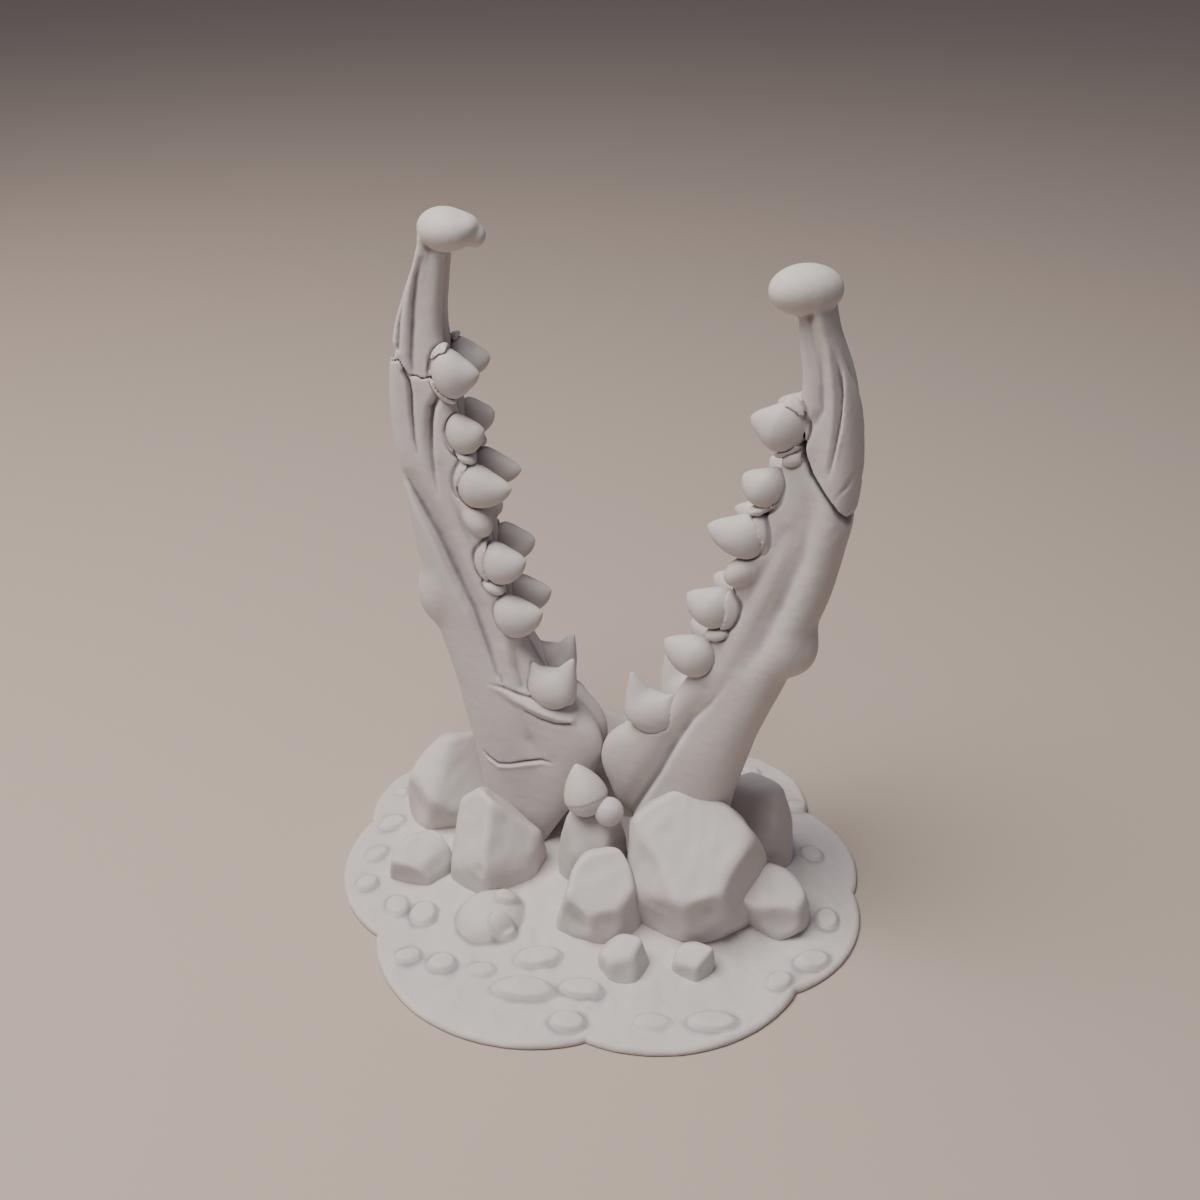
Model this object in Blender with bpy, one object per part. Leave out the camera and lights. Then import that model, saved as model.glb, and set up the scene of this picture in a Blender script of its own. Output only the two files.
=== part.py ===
"""Statuette of two toothed jawbones standing chin down in rocky ground, cast in one pale matt resin.

Metres, +Z up. The origin is on the flat underside, at the middle of the base's box.
The two jawbones mirror each other across the plane X = 0 and differ in where they are cracked.
Their shape is given in millimetres by height above the underside: u is the distance outwards from the
mirror plane, v the depth behind the jaw's own middle sheet, which leans back as it rises.
"""

import math

import bmesh
import bpy
import numpy as np
from mathutils import Matrix, Vector

MM = 0.001
GAP = 0.3 * MM
ISLAND = "island"

# Ground slab, in millimetres: each lobe of the rim is its first cusp's angle and radius, and its bulge.
RIM_LOBES = (
    (13, 75.3, 3.6), (44, 69.8, 5.0), (74, 72.0, 4.5), (103, 70.0, 5.5), (133, 72.5, 5.5),
    (163, 77.0, 2.6), (187, 73.0, 4.4), (229, 69.4, 7.8), (290, 70.4, 5.8), (338, 74.7, 4.2),
)
RIM_SIDES = 72
RIM_HEIGHT = 1.8
MOUND_HEIGHT = 5.4
MOUND_CENTRE = (-2.0, 4.0)
MOUND_REACH = 66.0
GROUND_RINGS = (0.22, 0.44, 0.64, 0.82, 0.95)
# Boulder that the ground has all but covered: centre and radii.
BURIED = ((-18.8, -33.6, 2.0), (9.4, 9.6, 7.4))

# Pebbles half sunk in the ground: x, y, long radius, short radius, turn in degrees, height.
PEBBLES = (
    (-72.0, 8.0, 2.2, 1.8, 0, 1.0), (-67.0, -7.0, 4.2, 3.0, 60, 1.3), (-64.0, -21.5, 3.6, 2.8, 70, 1.1),
    (-59.5, -35.0, 3.4, 2.8, 50, 1.4), (-46.5, -40.0, 4.2, 3.2, -50, 1.3), (-37.5, -41.0, 4.8, 3.9, -60, 1.7),
    (-33.5, -57.0, 3.8, 2.7, 40, 1.3), (-23.5, -56.0, 4.0, 3.3, 10, 1.7), (-12.5, -54.0, 3.8, 2.4, 20, 0.9),
    (0.5, -45.0, 6.3, 3.4, 28, 1.7), (1.5, -56.5, 8.2, 3.7, 16, 1.7), (15.8, -50.5, 5.8, 3.2, 12, 1.6),
    (17.0, -62.5, 4.7, 3.6, 15, 1.7), (37.5, -53.5, 4.6, 2.6, 20, 0.8), (52.0, -47.5, 6.4, 3.4, 22, 1.5),
    (63.8, -26.8, 3.8, 3.0, 60, 1.3), (69.8, -15.6, 5.0, 3.4, 40, 1.6), (69.0, 2.4, 4.2, 3.2, -70, 1.5),
    (57.0, 29.0, 3.6, 2.9, -30, 1.2), (46.0, 50.0, 3.4, 2.6, 20, 1.2), (8.0, 66.5, 4.4, 3.2, 10, 1.4),
    (-11.0, 62.0, 3.6, 2.8, 60, 1.2), (-57.0, 35.0, 4.4, 3.2, -40, 1.4), (-44.0, 55.0, 3.8, 3.0, 20, 1.3),
    (27.0, 62.5, 3.0, 2.3, -30, 1.0), (-68.5, 22.5, 3.0, 2.4, 30, 1.1),
)
PEBBLE_SIDES = 8

# Jaw outline: height, inner edge u, outer edge u and half thickness.
JAW_STATIONS = (
    (-3, 22.0, 36.5, 10.0), (8, 17.5, 37.0, 10.0), (20, 10.6, 38.2, 10.4), (32, 4.3, 40.2, 10.8),
    (43, 0.7, 42.8, 11.0), (50, 3.4, 44.6, 10.8), (56, 10.5, 46.0, 10.4), (63, 18.5, 48.2, 10.0),
    (72, 24.6, 51.2, 9.6), (84, 30.0, 54.6, 9.3), (97, 34.3, 58.0, 9.2), (113, 38.8, 61.4, 9.0),
    (127, 43.4, 64.4, 8.8), (140, 46.8, 65.5, 8.3), (150, 49.2, 64.6, 7.7), (160, 49.8, 62.4, 7.0),
    (170, 48.7, 58.8, 6.4), (176, 48.0, 56.2, 6.2), (182, 47.8, 54.2, 6.0),
)
# Where the jaw's middle sheet stands in Y at each height.
JAW_LEAN = (
    (-3, 6.2), (40, 6.6), (72, 7.6), (84, 8.0), (99, 9.5), (119, 11.0), (134, 12.4), (149, 13.0), (190, 12.8),
)
JAW_TOE = math.radians(14)
# The right jaw is this much shorter than the left above its highest tooth.
RIGHT_SHORTER = 3.6
SHORTENED_FROM, SHORTENED_BY = 150.0, 182.0
JAW_SIDES = 24
JAW_RINGS = 37
INNER_SQUARENESS = 3.4
OUTER_SQUARENESS = 2.3
# The outer edge rides nearer the front face than the middle sheet does.
OUTER_EDGE_V = -4.0
# How far the outer edge stands out beyond its station: height, left jaw, right jaw.
OUTER_EDGE_OUT = (
    (-3, 1.4, 0.2), (50, 1.4, -0.4), (78, 1.4, 0.6), (104, 1.4, 2.0), (126, 1.4, 0.8), (150, 1.4, -0.3),
    (168, 1.4, -0.2), (190, 1.4, 1.2),
)
VALLEY_DEPTH = 1.8
VALLEY_HALF_ANGLE = math.radians(16)
CUTTER_SIDES = 14
CUTTER_RINGS = 13
CUTTER_TOP = 62.0
CUTTER_GROWTH = 0.75

# Wide hollows along each face of a jaw: points (u, height), depth and half width.
BAR_HOLLOW = (((56.0, 122), (53.0, 107), (49.5, 94), (44.5, 80), (38.0, 66)), 1.5, 3.2)
CHIN_HOLLOW = (((36.0, 72), (29.5, 61), (21.5, 50), (15.5, 37), (11.0, 28)), 2.0, 3.4)

# Teeth: base centre (u, height), tip (u, height), base radius and whether a raised collar holds it.
TOOTH_ROW_V = 6.5
TOOTH_FLATNESS = 0.8
TEETH = (
    ((47.4, 148.3), (38.9, 149.8), 6.7, True),
    ((44.5, 131.8), (38.0, 134.3), 5.5, False),
    ((40.6, 117.8), (29.5, 119.1), 6.2, True),
    ((33.4, 96.2), (25.1, 98.8), 6.0, True),
    ((29.3, 81.0), (19.7, 84.3), 6.3, False),
)
TOOTH_SIDES = 8
COLLAR_SPREAD = 1.1
COLLAR_HALF_THICKNESS = 2.2
MOLAR_BODY = ((17.2, 60.2), 6.6)
MOLAR_FAR_OUT = 2.4
MOLAR_CUSPS = (((14.0, 61.0), (10.2, 71.6), 4.5), ((20.2, 61.2), (22.8, 67.6), 3.9))
# Gum lumps between the teeth: (u, height), radius.
GUM_LUMPS = (((39.2, 107.6), 4.3), ((34.4, 88.8), 2.9), ((26.6, 72.4), 2.2))

# Knob at the top of each jaw and the knuckle on its outer edge: centre (u, v, height), radii in X, Y and Z.
CONDYLE_LOBES = {
    "left": (((48.0, -2.4, 185.7), (8.0, 7.8, 5.5)), ((40.9, 0.0, 183.4), (3.5, 3.7, 3.1))),
    "right": (((48.6, -2.4, 185.3), (8.2, 8.2, 6.1)), ((45.5, 4.0, 183.0), (5.0, 4.8, 4.6))),
}
KNUCKLES = {"left": ((53.6, -3.0, 82.0), (6.0, 6.4, 8.8)), "right": ((53.8, -3.0, 87.0), (5.5, 5.6, 7.2))}

# Thin cuts that part a jaw: a point (u, height) and how far the cut's outward run tips up, in degrees.
CUTS = {
    "left": (((26.0, 54.5), 6), ((58.0, 144.0), 14), ((52.0, 178.2), 10)),
    "right": (((26.0, 54.5), -8), ((57.0, 136.8), -53), ((52.0, 174.8), 10)),
}
JAW_PARTS = ("chin", "body", "ramus", "condyle")

# Boulders: centre, radii, turn in degrees, bevel, and facets as (azimuth, elevation, distance) where the
# distance is a share of the radii. Each is cut clear of the jaws and of the boulders before it.
ROCKS = {
    "boulder_front_right": ((30.6, -8.6, 16.2), (20.6, 21.5, 26.4), 0, 2.2, (
        (-67, 60, 0.63), (-116, 20, 0.77), (-101, -17, 0.80), (-58, -6, 0.90), (-17, 10, 0.87),
        (-36, -26, 0.92), (-74, -40, 0.88), (-157, 2, 0.83), (171, 50, 0.97), (156, 58, 0.95),
        (70, 58, 0.90), (44, 38, 0.94), (62, 12, 0.90), (113, 10, 0.88), (164, 12, 0.90))),
    "boulder_front_left": ((-28.0, -16.0, 13.0), (14.4, 14.6, 18.4), 0, 1.8, (
        (-123, 36, 0.62), (-35, 38, 0.72), (-105, -2, 0.82), (-41, -2, 0.88), (-160, 7, 0.76),
        (158, 58, 0.96), (57, 51, 0.73), (62, 12, 0.90), (113, 10, 0.88),
        (164, 12, 0.90))),
    "boulder_back_left": ((-52.6, 5.4, 13.8), (15.0, 14.0, 17.0), 12, 2.2, (
        (-116, 54, 0.76), (-134, 0, 0.86), (-44, 37, 0.60), (-72, -24, 0.90), (-162, -15, 0.99),
        (-175, 10, 0.87), (172, 33, 0.78), (157, 50, 0.86), (111, 65, 0.95), (62, 12, 0.90),
        (113, 10, 0.88), (164, 12, 0.90))),
    "boulder_back_right": ((42.6, 21.8, 13.0), (10.8, 11.5, 17.2), -6, 1.8, (
        (-76, 14, 0.82), (-5, 12, 0.80), (-41, -8, 0.88), (82, 65, 0.96), (45, 33, 0.88),
        (38, 19, 0.87), (30, 0, 0.92), (62, 12, 0.90), (113, 10, 0.88), (164, 12, 0.90))),
    "boulder_right": ((55.0, -3.4, 8.0), (10.2, 10.6, 12.4), 0, 1.8, (
        (-60, 64, 0.66), (-66, 8, 0.80), (-12, 8, 0.92), (-39, -34, 0.92), (-104, -20, 0.80),
        (84, 61, 0.88), (45, 37, 0.86), (31, 15, 0.90), (62, 12, 0.90), (113, 10, 0.88),
        (164, 12, 0.90))),
    "boulder_front_middle": ((10.2, -25.6, 11.6), (12.4, 11.6, 15.8), 0, 1.6, (
        (-57, 60, 0.62), (-104, -2, 0.86), (-53, 4, 0.87), (-17, 6, 0.83), (-87, -27, 0.91),
        (-166, 18, 0.77), (179, 43, 0.90), (132, 66, 0.99), (29, 16, 0.91),
        (27, 12, 0.92), (62, 12, 0.90), (113, 10, 0.88), (164, 12, 0.90))),
    "boulder_behind": ((-6.0, 29.0, 16.6), (12.4, 12.0, 21.8), 0, 2.2, (
        (-60, 64, 0.84), (-20, 30, 0.82), (-130, 40, 0.84), (40, 12, 0.84), (95, 24, 0.84), (150, 10, 0.84),
        (80, 62, 0.86), (-80, 6, 0.88), (-170, 30, 0.88))),
    "boulder_behind_right": ((22.0, 36.0, 9.5), (13.0, 11.5, 13.5), 20, 1.8, (
        (-40, 52, 0.84), (20, 20, 0.84), (80, 18, 0.84), (140, 34, 0.86), (-100, 24, 0.88), (70, 66, 0.86),
        (-10, -10, 0.88), (170, 8, 0.86))),
    "boulder_behind_left": ((-34.0, 33.5, 8.5), (12.5, 11.5, 12.0), -15, 1.8, (
        (-60, 58, 0.86), (10, 24, 0.86), (75, 22, 0.84), (130, 30, 0.84), (-160, 16, 0.84), (100, 66, 0.86),
        (-110, 10, 0.88), (45, -12, 0.9))),
    "stone_left": ((-47.4, -24.4, 6.0), (9.2, 9.0, 9.6), 0, 1.4, (
        (-65, 64, 0.70), (-34, 28, 0.74), (-88, -12, 0.72), (-26, -10, 0.89), (-164, 11, 0.89),
        (172, 44, 0.92), (136, 60, 0.95), (62, 12, 0.90), (113, 10, 0.88), (164, 12, 0.90))),
    "stone_front_middle": ((21.9, -38.2, 4.9), (7.4, 7.0, 8.2), 0, 1.3, (
        (-91, 72, 0.70), (-65, 20, 0.80), (-122, 2, 0.80), (-11, 18, 0.87), (-162, 7, 0.81),
        (171, 47, 0.72), (109, 64, 0.89), (62, 12, 0.90), (113, 10, 0.88), (164, 12, 0.90))),
    "stone_front_right": ((40.2, -31.0, 4.2), (5.9, 5.8, 6.8), 0, 1.2, (
        (-104, 62, 0.70), (-31, 6, 0.84), (-98, 0, 0.76), (-167, 19, 0.89), (162, 54, 0.91),
        (108, 64, 0.86), (62, 12, 0.90), (113, 10, 0.88), (164, 12, 0.90))),
    "stone_under_chins": ((1.0, -11.0, 17.0), (8.6, 7.4, 14.6), 0, 1.6, (
        (-90, 80, 0.96), (-85, 44, 0.84), (-134, 6, 0.84), (-70, 0, 0.86), (-14, 16, 0.88), (-96, -28, 0.86),
        (170, 24, 0.88), (-40, -20, 0.88), (150, -10, 0.9), (60, 10, 0.9))),
    "stone_ball": ((7.9, -12.9, 33.9), (4.4, 4.2, 4.7), 0, 1.5, (
        (-90, 50, 0.95), (-30, 10, 0.95), (-150, 20, 0.95), (-90, -20, 0.95), (60, 30, 0.95))),
}
POINTED_STONE = ((1.0, -12.4, 35.8), (-3.0, -10.8, 45.4), 6.0)
POINTED_STONE_SIDES = 10


def clear_scene():
    for obj in list(bpy.data.objects):
        bpy.data.objects.remove(obj, do_unlink=True)


def resin():
    """Pale matt casting resin, a warm off-white."""
    material = bpy.data.materials.new("pale_resin")
    material.use_nodes = True
    shader = material.node_tree.nodes["Principled BSDF"]
    shader.inputs["Base Color"].default_value = (0.62, 0.585, 0.565, 1)
    shader.inputs["Roughness"].default_value = 0.62
    shader.inputs["Metallic"].default_value = 0.0
    material.diffuse_color = (0.62, 0.585, 0.565, 1)
    return material


def add_object(name, points, faces):
    """A closed mesh object from points in millimetres, with its faces turned outwards."""
    mesh = bpy.data.meshes.new(name)
    mesh.from_pydata([tuple(p) for p in np.asarray(points, float) * MM], [], faces)
    work = bmesh.new()
    work.from_mesh(mesh)
    bmesh.ops.recalc_face_normals(work, faces=work.faces)
    work.to_mesh(mesh)
    work.free()
    obj = bpy.data.objects.new(name, mesh)
    bpy.context.scene.collection.objects.link(obj)
    return obj


def skin_rings(rings, close_start=True, close_end=True):
    """Points and faces of a tube through equal rings, each end closed by a fan round its middle."""
    count = len(rings[0])
    points = [tuple(p) for ring in rings for p in ring]
    faces = []
    for row in range(len(rings) - 1):
        low, high = row * count, (row + 1) * count
        for i in range(count):
            j = (i + 1) % count
            faces.append((low + i, low + j, high + j, high + i))
    last = (len(rings) - 1) * count
    for wanted, ring, start in ((close_start, rings[0], 0), (close_end, rings[-1], last)):
        if wanted:
            middle = len(points)
            points.append(tuple(np.mean(ring, axis=0)))
            faces.extend((start + i, start + (i + 1) % count, middle) for i in range(count))
    return points, faces


def smooth_through(table, at, column):
    """Smooth curve through a table's column against its first column, by cubic Hermite pieces."""
    x = np.array([row[0] for row in table], float)
    y = np.array([row[column] for row in table], float)
    slopes = np.gradient(y, x)
    at = np.clip(np.asarray(at, float), x[0], x[-1])
    k = np.clip(np.searchsorted(x, at) - 1, 0, len(x) - 2)
    width = x[k + 1] - x[k]
    t = (at - x[k]) / width
    return (
        (2 * t**3 - 3 * t**2 + 1) * y[k]
        + (t**3 - 2 * t**2 + t) * width * slopes[k]
        + (3 * t**2 - 2 * t**3) * y[k + 1]
        + (t**3 - t**2) * width * slopes[k + 1]
    )


def distance_to_path(u, z, path):
    """Distance in the jaw's face from each point to a run of straight pieces."""
    best = np.full(np.shape(u), np.inf)
    for (u0, z0), (u1, z1) in zip(path, path[1:]):
        du, dz = u1 - u0, z1 - z0
        t = np.clip(((u - u0) * du + (z - z0) * dz) / (du * du + dz * dz), 0, 1)
        best = np.minimum(best, np.hypot(u - u0 - t * du, z - z0 - t * dz))
    return best


def jaw_to_world(u, v, z, side):
    """World millimetres from the jaw's own u, v and height. side is 1 on the right and -1 on the left."""
    x = side * (u + v * math.sin(JAW_TOE))
    y = smooth_through(JAW_LEAN, z, 1) + v * math.cos(JAW_TOE)
    if side > 0:
        share = np.clip((z - SHORTENED_FROM) / (SHORTENED_BY - SHORTENED_FROM), 0, 1)
        z = z - RIGHT_SHORTER * share**2 * (3 - 2 * share)
    return np.stack([x, y, np.broadcast_to(z, np.shape(x))], axis=-1)


def jaw_point(u, v, z, side):
    return Vector(jaw_to_world(np.float64(u), np.float64(v), np.float64(z), side))


def jaw_ring(z, side, grow, hollows, sides):
    """One level section of a jaw: square on its toothed inner side, rounder outside, a valley between rows."""
    inner = smooth_through(JAW_STATIONS, z, 1) - grow
    outer = smooth_through(JAW_STATIONS, z, 2) + grow
    outer = outer + smooth_through(OUTER_EDGE_OUT, z, 1 if side < 0 else 2)
    thick = smooth_through(JAW_STATIONS, z, 3) + grow
    angle = np.linspace(0, 2 * math.pi, sides, endpoint=False) + math.pi / sides
    c, s = np.cos(angle), np.sin(angle)
    power = np.where(c < 0, INNER_SQUARENESS, OUTER_SQUARENESS)
    reach = (np.abs(c) ** power + np.abs(s) ** power) ** (-1 / power)
    half_width = (outer - inner) / 2
    u = (inner + outer) / 2 + half_width * reach * c
    v = thick * reach * s
    if hollows:
        turn = np.abs(np.arctan2(s, -c))
        u = u + VALLEY_DEPTH * np.exp(-((turn / VALLEY_HALF_ANGLE) ** 2))
        for path, depth, half in hollows:
            carve = depth * np.exp(-((distance_to_path(u, z, path) / half) ** 2))
            v = v - np.sign(v) * carve * np.minimum(1, np.abs(v) / (0.6 * thick))
    v = v + OUTER_EDGE_V * np.clip(c, 0, 1) ** 1.5
    return jaw_to_world(u, v, np.full(len(u), float(z)), side)


def jaw_bone(side, hollows=()):
    """The bare bone of one jaw, from below the ground to inside its knob."""
    heights = np.linspace(JAW_STATIONS[0][0], JAW_STATIONS[-1][0], JAW_RINGS)
    return add_object("bone", *skin_rings([jaw_ring(z, side, 0.0, hollows, JAW_SIDES) for z in heights]))


def jaw_cutter(side):
    """A plain form a little outside a jaw's foot, which keeps the stones clear of it."""
    heights = np.linspace(JAW_STATIONS[0][0], CUTTER_TOP, CUTTER_RINGS)
    rings = [jaw_ring(z, side, CUTTER_GROWTH, (), CUTTER_SIDES) for z in heights]
    return add_object("cutter", *skin_rings(rings))


def ball(centre, radii, rings=6, sides=10):
    """Ellipsoid in world axes: centre and radii in millimetres."""
    rows = []
    for k in range(1, rings):
        polar = math.pi * k / rings
        angle = np.linspace(0, 2 * math.pi, sides, endpoint=False)
        rows.append(np.stack([
            centre[0] + radii[0] * math.sin(polar) * np.cos(angle),
            centre[1] + radii[1] * math.sin(polar) * np.sin(angle),
            np.full(sides, centre[2] - radii[2] * math.cos(polar)),
        ], axis=-1))
    points, faces = skin_rings(rows)
    points[-2] = (centre[0], centre[1], centre[2] - radii[2])
    points[-1] = (centre[0], centre[1], centre[2] + radii[2])
    return add_object("ball", points, faces)


def spun_form(start, axis, flat_axis, profile, sides, flatness):
    """A turned form along an axis, pressed flatter along flat_axis. profile holds (distance, radius) pairs."""
    axis = axis.normalized()
    thin = (flat_axis - axis * flat_axis.dot(axis)).normalized()
    wide = axis.cross(thin)
    rings = []
    for along, radius in profile[1:-1]:
        angle = np.linspace(0, 2 * math.pi, sides, endpoint=False)
        rings.append([
            start + axis * along + (wide * math.cos(a) + thin * (flatness * math.sin(a))) * radius
            for a in angle
        ])
    points, faces = skin_rings([[tuple(p) for p in ring] for ring in rings])
    points[-2] = tuple(start + axis * profile[0][0])
    points[-1] = tuple(start + axis * profile[-1][0])
    return add_object("form", points, faces)


def drop_profile(radius, length, back=0.85, blunt=0.12):
    """Profile of a fat pointed drop: a round back and a flank that bows out on its way to a blunt tip."""
    behind = [(-back * radius * math.cos(a), radius * math.sin(a)) for a in (0, 0.8)]
    ahead = [(share * length, radius * (1 - share**2.4) + blunt * share) for share in (0, 0.42, 0.72, 0.93)]
    return behind + ahead + [(length, 0)]


def tooth(base, tip, radius, collar, row, side):
    """One conical tooth with the collar that holds it. row is -1 for the front row and 1 for the far one."""
    v = row * TOOTH_ROW_V
    start = jaw_point(base[0], v, base[1], side)
    axis = jaw_point(tip[0], v, tip[1], side) - start
    depth = Vector((math.sin(JAW_TOE) * side, math.cos(JAW_TOE), 0))
    made = [spun_form(start, axis, depth, drop_profile(radius, axis.length), TOOTH_SIDES, TOOTH_FLATNESS)]
    if collar:
        spread, thick = radius * COLLAR_SPREAD, COLLAR_HALF_THICKNESS
        profile = [(-thick * math.cos(a), spread * math.sin(a)) for a in np.linspace(0, math.pi, 4)]
        middle = start - axis.normalized() * 0.35 * radius
        made.append(spun_form(middle, axis, depth, profile, 9, TOOTH_FLATNESS + 0.08))
    return made


def molar(row, side):
    """The two-pointed tooth above the chin."""
    v = row * TOOTH_ROW_V
    out = MOLAR_FAR_OUT if row > 0 else 0.0
    depth = Vector((math.sin(JAW_TOE) * side, math.cos(JAW_TOE), 0))
    (u, z), radius = MOLAR_BODY
    body = jaw_point(u + out, v, z, side)
    made = [ball(body, (radius, radius * TOOTH_FLATNESS, radius * 0.94), 6, 9)]
    for base, tip, cusp_radius in MOLAR_CUSPS:
        start = jaw_point(base[0] + out, v, base[1], side)
        axis = jaw_point(tip[0] + out, v, tip[1], side) - start
        profile = drop_profile(cusp_radius, axis.length)
        made.append(spun_form(start, axis, depth, profile, 7, 0.9))
    return made


def united(name, pieces):
    """One object from closed pieces, by one Boolean union on a collection."""
    first, others = pieces[0], pieces[1:]
    group = bpy.data.collections.new(name + "_pieces")
    bpy.context.scene.collection.children.link(group)
    for piece in others:
        bpy.context.scene.collection.objects.unlink(piece)
        group.objects.link(piece)
    union = first.modifiers.new("union", "BOOLEAN")
    union.operation = "UNION"
    union.operand_type = "COLLECTION"
    union.collection = group
    union.solver = "EXACT"
    apply_modifiers(first)
    for piece in others:
        bpy.data.objects.remove(piece, do_unlink=True)
    bpy.data.collections.remove(group)
    first.name = name
    keep_largest(first)
    return first


def apply_modifiers(obj):
    """The object's evaluated mesh takes the place of its modifiers."""
    bpy.context.view_layer.update()
    graph = bpy.context.evaluated_depsgraph_get()
    mesh = bpy.data.meshes.new_from_object(obj.evaluated_get(graph))
    obj.modifiers.clear()
    obj.data = mesh


def keep_largest(obj):
    """Only the closed surface with the largest box stays."""
    work = bmesh.new()
    work.from_mesh(obj.data)
    work.verts.ensure_lookup_table()
    seen, islands = set(), []
    for vert in work.verts:
        if vert.index in seen:
            continue
        island, todo = [], [vert]
        seen.add(vert.index)
        while todo:
            one = todo.pop()
            island.append(one)
            for edge in one.link_edges:
                other = edge.other_vert(one)
                if other.index not in seen:
                    seen.add(other.index)
                    todo.append(other)
        islands.append(island)
    def box(island):
        co = np.array([v.co for v in island])
        return float(np.prod(co.max(0) - co.min(0) + 1e-6))
    islands.sort(key=box, reverse=True)
    for island in islands[1:]:
        bmesh.ops.delete(work, geom=island, context="VERTS")
    work.to_mesh(obj.data)
    work.free()


def cut_from(obj, cutters):
    """Takes each cutter out of the object, by one Boolean each, and removes the cutters."""
    for cutter in cutters:
        cut = obj.modifiers.new("cut", "BOOLEAN")
        cut.operation = "DIFFERENCE"
        cut.object = cutter
        cut.solver = "EXACT"
    apply_modifiers(obj)
    for cutter in cutters:
        bpy.data.objects.remove(cutter, do_unlink=True)
    keep_largest(obj)


def kept_side(source, name, planes):
    """A copy of source that keeps what lies on the positive side of each plane, given as (point, normal)."""
    obj = bpy.data.objects.new(name, source.data.copy())
    bpy.context.scene.collection.objects.link(obj)
    work = bmesh.new()
    work.from_mesh(obj.data)
    for point, normal in planes:
        geometry = work.verts[:] + work.edges[:] + work.faces[:]
        cut = bmesh.ops.bisect_plane(
            work, geom=geometry, plane_co=point * MM, plane_no=normal, dist=1e-7, clear_inner=True
        )
        edges = [g for g in cut["geom_cut"] if isinstance(g, bmesh.types.BMEdge)]
        bmesh.ops.holes_fill(work, edges=edges, sides=0)
    bmesh.ops.triangulate(work, faces=work.faces)
    bmesh.ops.recalc_face_normals(work, faces=work.faces)
    work.to_mesh(obj.data)
    work.free()
    keep_largest(obj)
    return obj


def make_jaw(side_name):
    """One whole jaw, parted by thin cuts into chin, body, ramus and condyle."""
    side = 1 if side_name == "right" else -1
    pieces = [jaw_bone(side, hollows=(BAR_HOLLOW, CHIN_HOLLOW))]
    for (u, v, z), radii in (*CONDYLE_LOBES[side_name], KNUCKLES[side_name]):
        pieces.append(ball(jaw_point(u, v, z, side), radii, 7, 12))
    for row in (-1, 1):
        for base, tip, radius, collar in TEETH:
            pieces.extend(tooth(base, tip, radius, collar, row, side))
        pieces.extend(molar(row, side))
        for (u, z), radius in GUM_LUMPS:
            pieces.append(ball(jaw_point(u, row * TOOTH_ROW_V, z, side), (radius,) * 3, 5, 7))
    whole = united("jaw", pieces)
    cut_from(whole, [ground_cutter()])
    planes = []
    for (u, z), tip_up in CUTS[side_name]:
        angle = math.radians(tip_up)
        normal = Vector((-side * math.sin(angle), 0, math.cos(angle)))
        planes.append((Vector((side * u, 0, z)), normal))
    half = GAP / MM / 2
    made = []
    for k, part in enumerate(JAW_PARTS):
        bounds = []
        if k > 0:
            point, normal = planes[k - 1]
            bounds.append((point + normal * half, normal))
        if k < len(planes):
            point, normal = planes[k]
            bounds.append((point - normal * half, -normal))
        made.append(kept_side(whole, f"{side_name}_jaw_{part}", bounds))
    bpy.data.objects.remove(whole, do_unlink=True)
    return made


def rim_radius(angle):
    """Radius of the base's lobed rim at an angle in degrees."""
    angle = (angle - RIM_LOBES[0][0]) % 360 + RIM_LOBES[0][0]
    ends = RIM_LOBES[1:] + ((RIM_LOBES[0][0] + 360, *RIM_LOBES[0][1:]),)
    for (start, low, bulge), (end, high, _) in zip(RIM_LOBES, ends):
        if start <= angle <= end:
            share = (angle - start) / (end - start)
            return low + (high - low) * share + bulge * math.sin(math.pi * share) ** 0.8
    return RIM_LOBES[0][1]


def rim_outline():
    """The rim's points, with the middle of their box at the origin."""
    angles = np.linspace(0, 360, RIM_SIDES, endpoint=False)
    radii = np.array([rim_radius(a) for a in angles])
    points = np.stack([radii * np.cos(np.radians(angles)), radii * np.sin(np.radians(angles))], axis=-1)
    return points - (points.max(0) + points.min(0)) / 2


def ground_height(x, y, share):
    """Height of the ground's skin at a share of the way from the middle to the rim."""
    far = np.hypot(x - MOUND_CENTRE[0], y - MOUND_CENTRE[1]) / MOUND_REACH
    rise = MOUND_HEIGHT * np.clip(1 - far**2, 0, 1) ** 1.3
    return RIM_HEIGHT + rise * np.clip((1 - share) / 0.1, 0, 1)


def ground_skin(raised, floor):
    """Closed solid under the ground's skin, the skin raised by some millimetres and the floor at a height."""
    outline = rim_outline()
    rings = []
    for share in (*GROUND_RINGS, 1.0):
        flat = outline * share
        height = ground_height(flat[:, 0], flat[:, 1], share) + raised
        rings.append(np.column_stack([flat, height]))
    rings.append(np.column_stack([outline, np.full(len(outline), float(floor))]))
    points, faces = skin_rings(rings, close_start=True, close_end=False)
    points[-1] = (0, 0, float(ground_height(0.0, 0.0, 0.0)) + raised)
    start = (len(rings) - 1) * RIM_SIDES
    faces.append(tuple(start + i for i in range(RIM_SIDES)))
    obj = add_object("ground", points, faces)
    work = bmesh.new()
    work.from_mesh(obj.data)
    bmesh.ops.triangulate(work, faces=[f for f in work.faces if len(f.verts) == 4], quad_method="FIXED")
    work.to_mesh(obj.data)
    work.free()
    return obj


def ground_cutter():
    """What the ground takes out of all that stands on it."""
    cutter = ground_skin(GAP / MM, -30)
    cutter.hide_render = True
    cutter.display_type = "WIRE"
    return cutter


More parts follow.
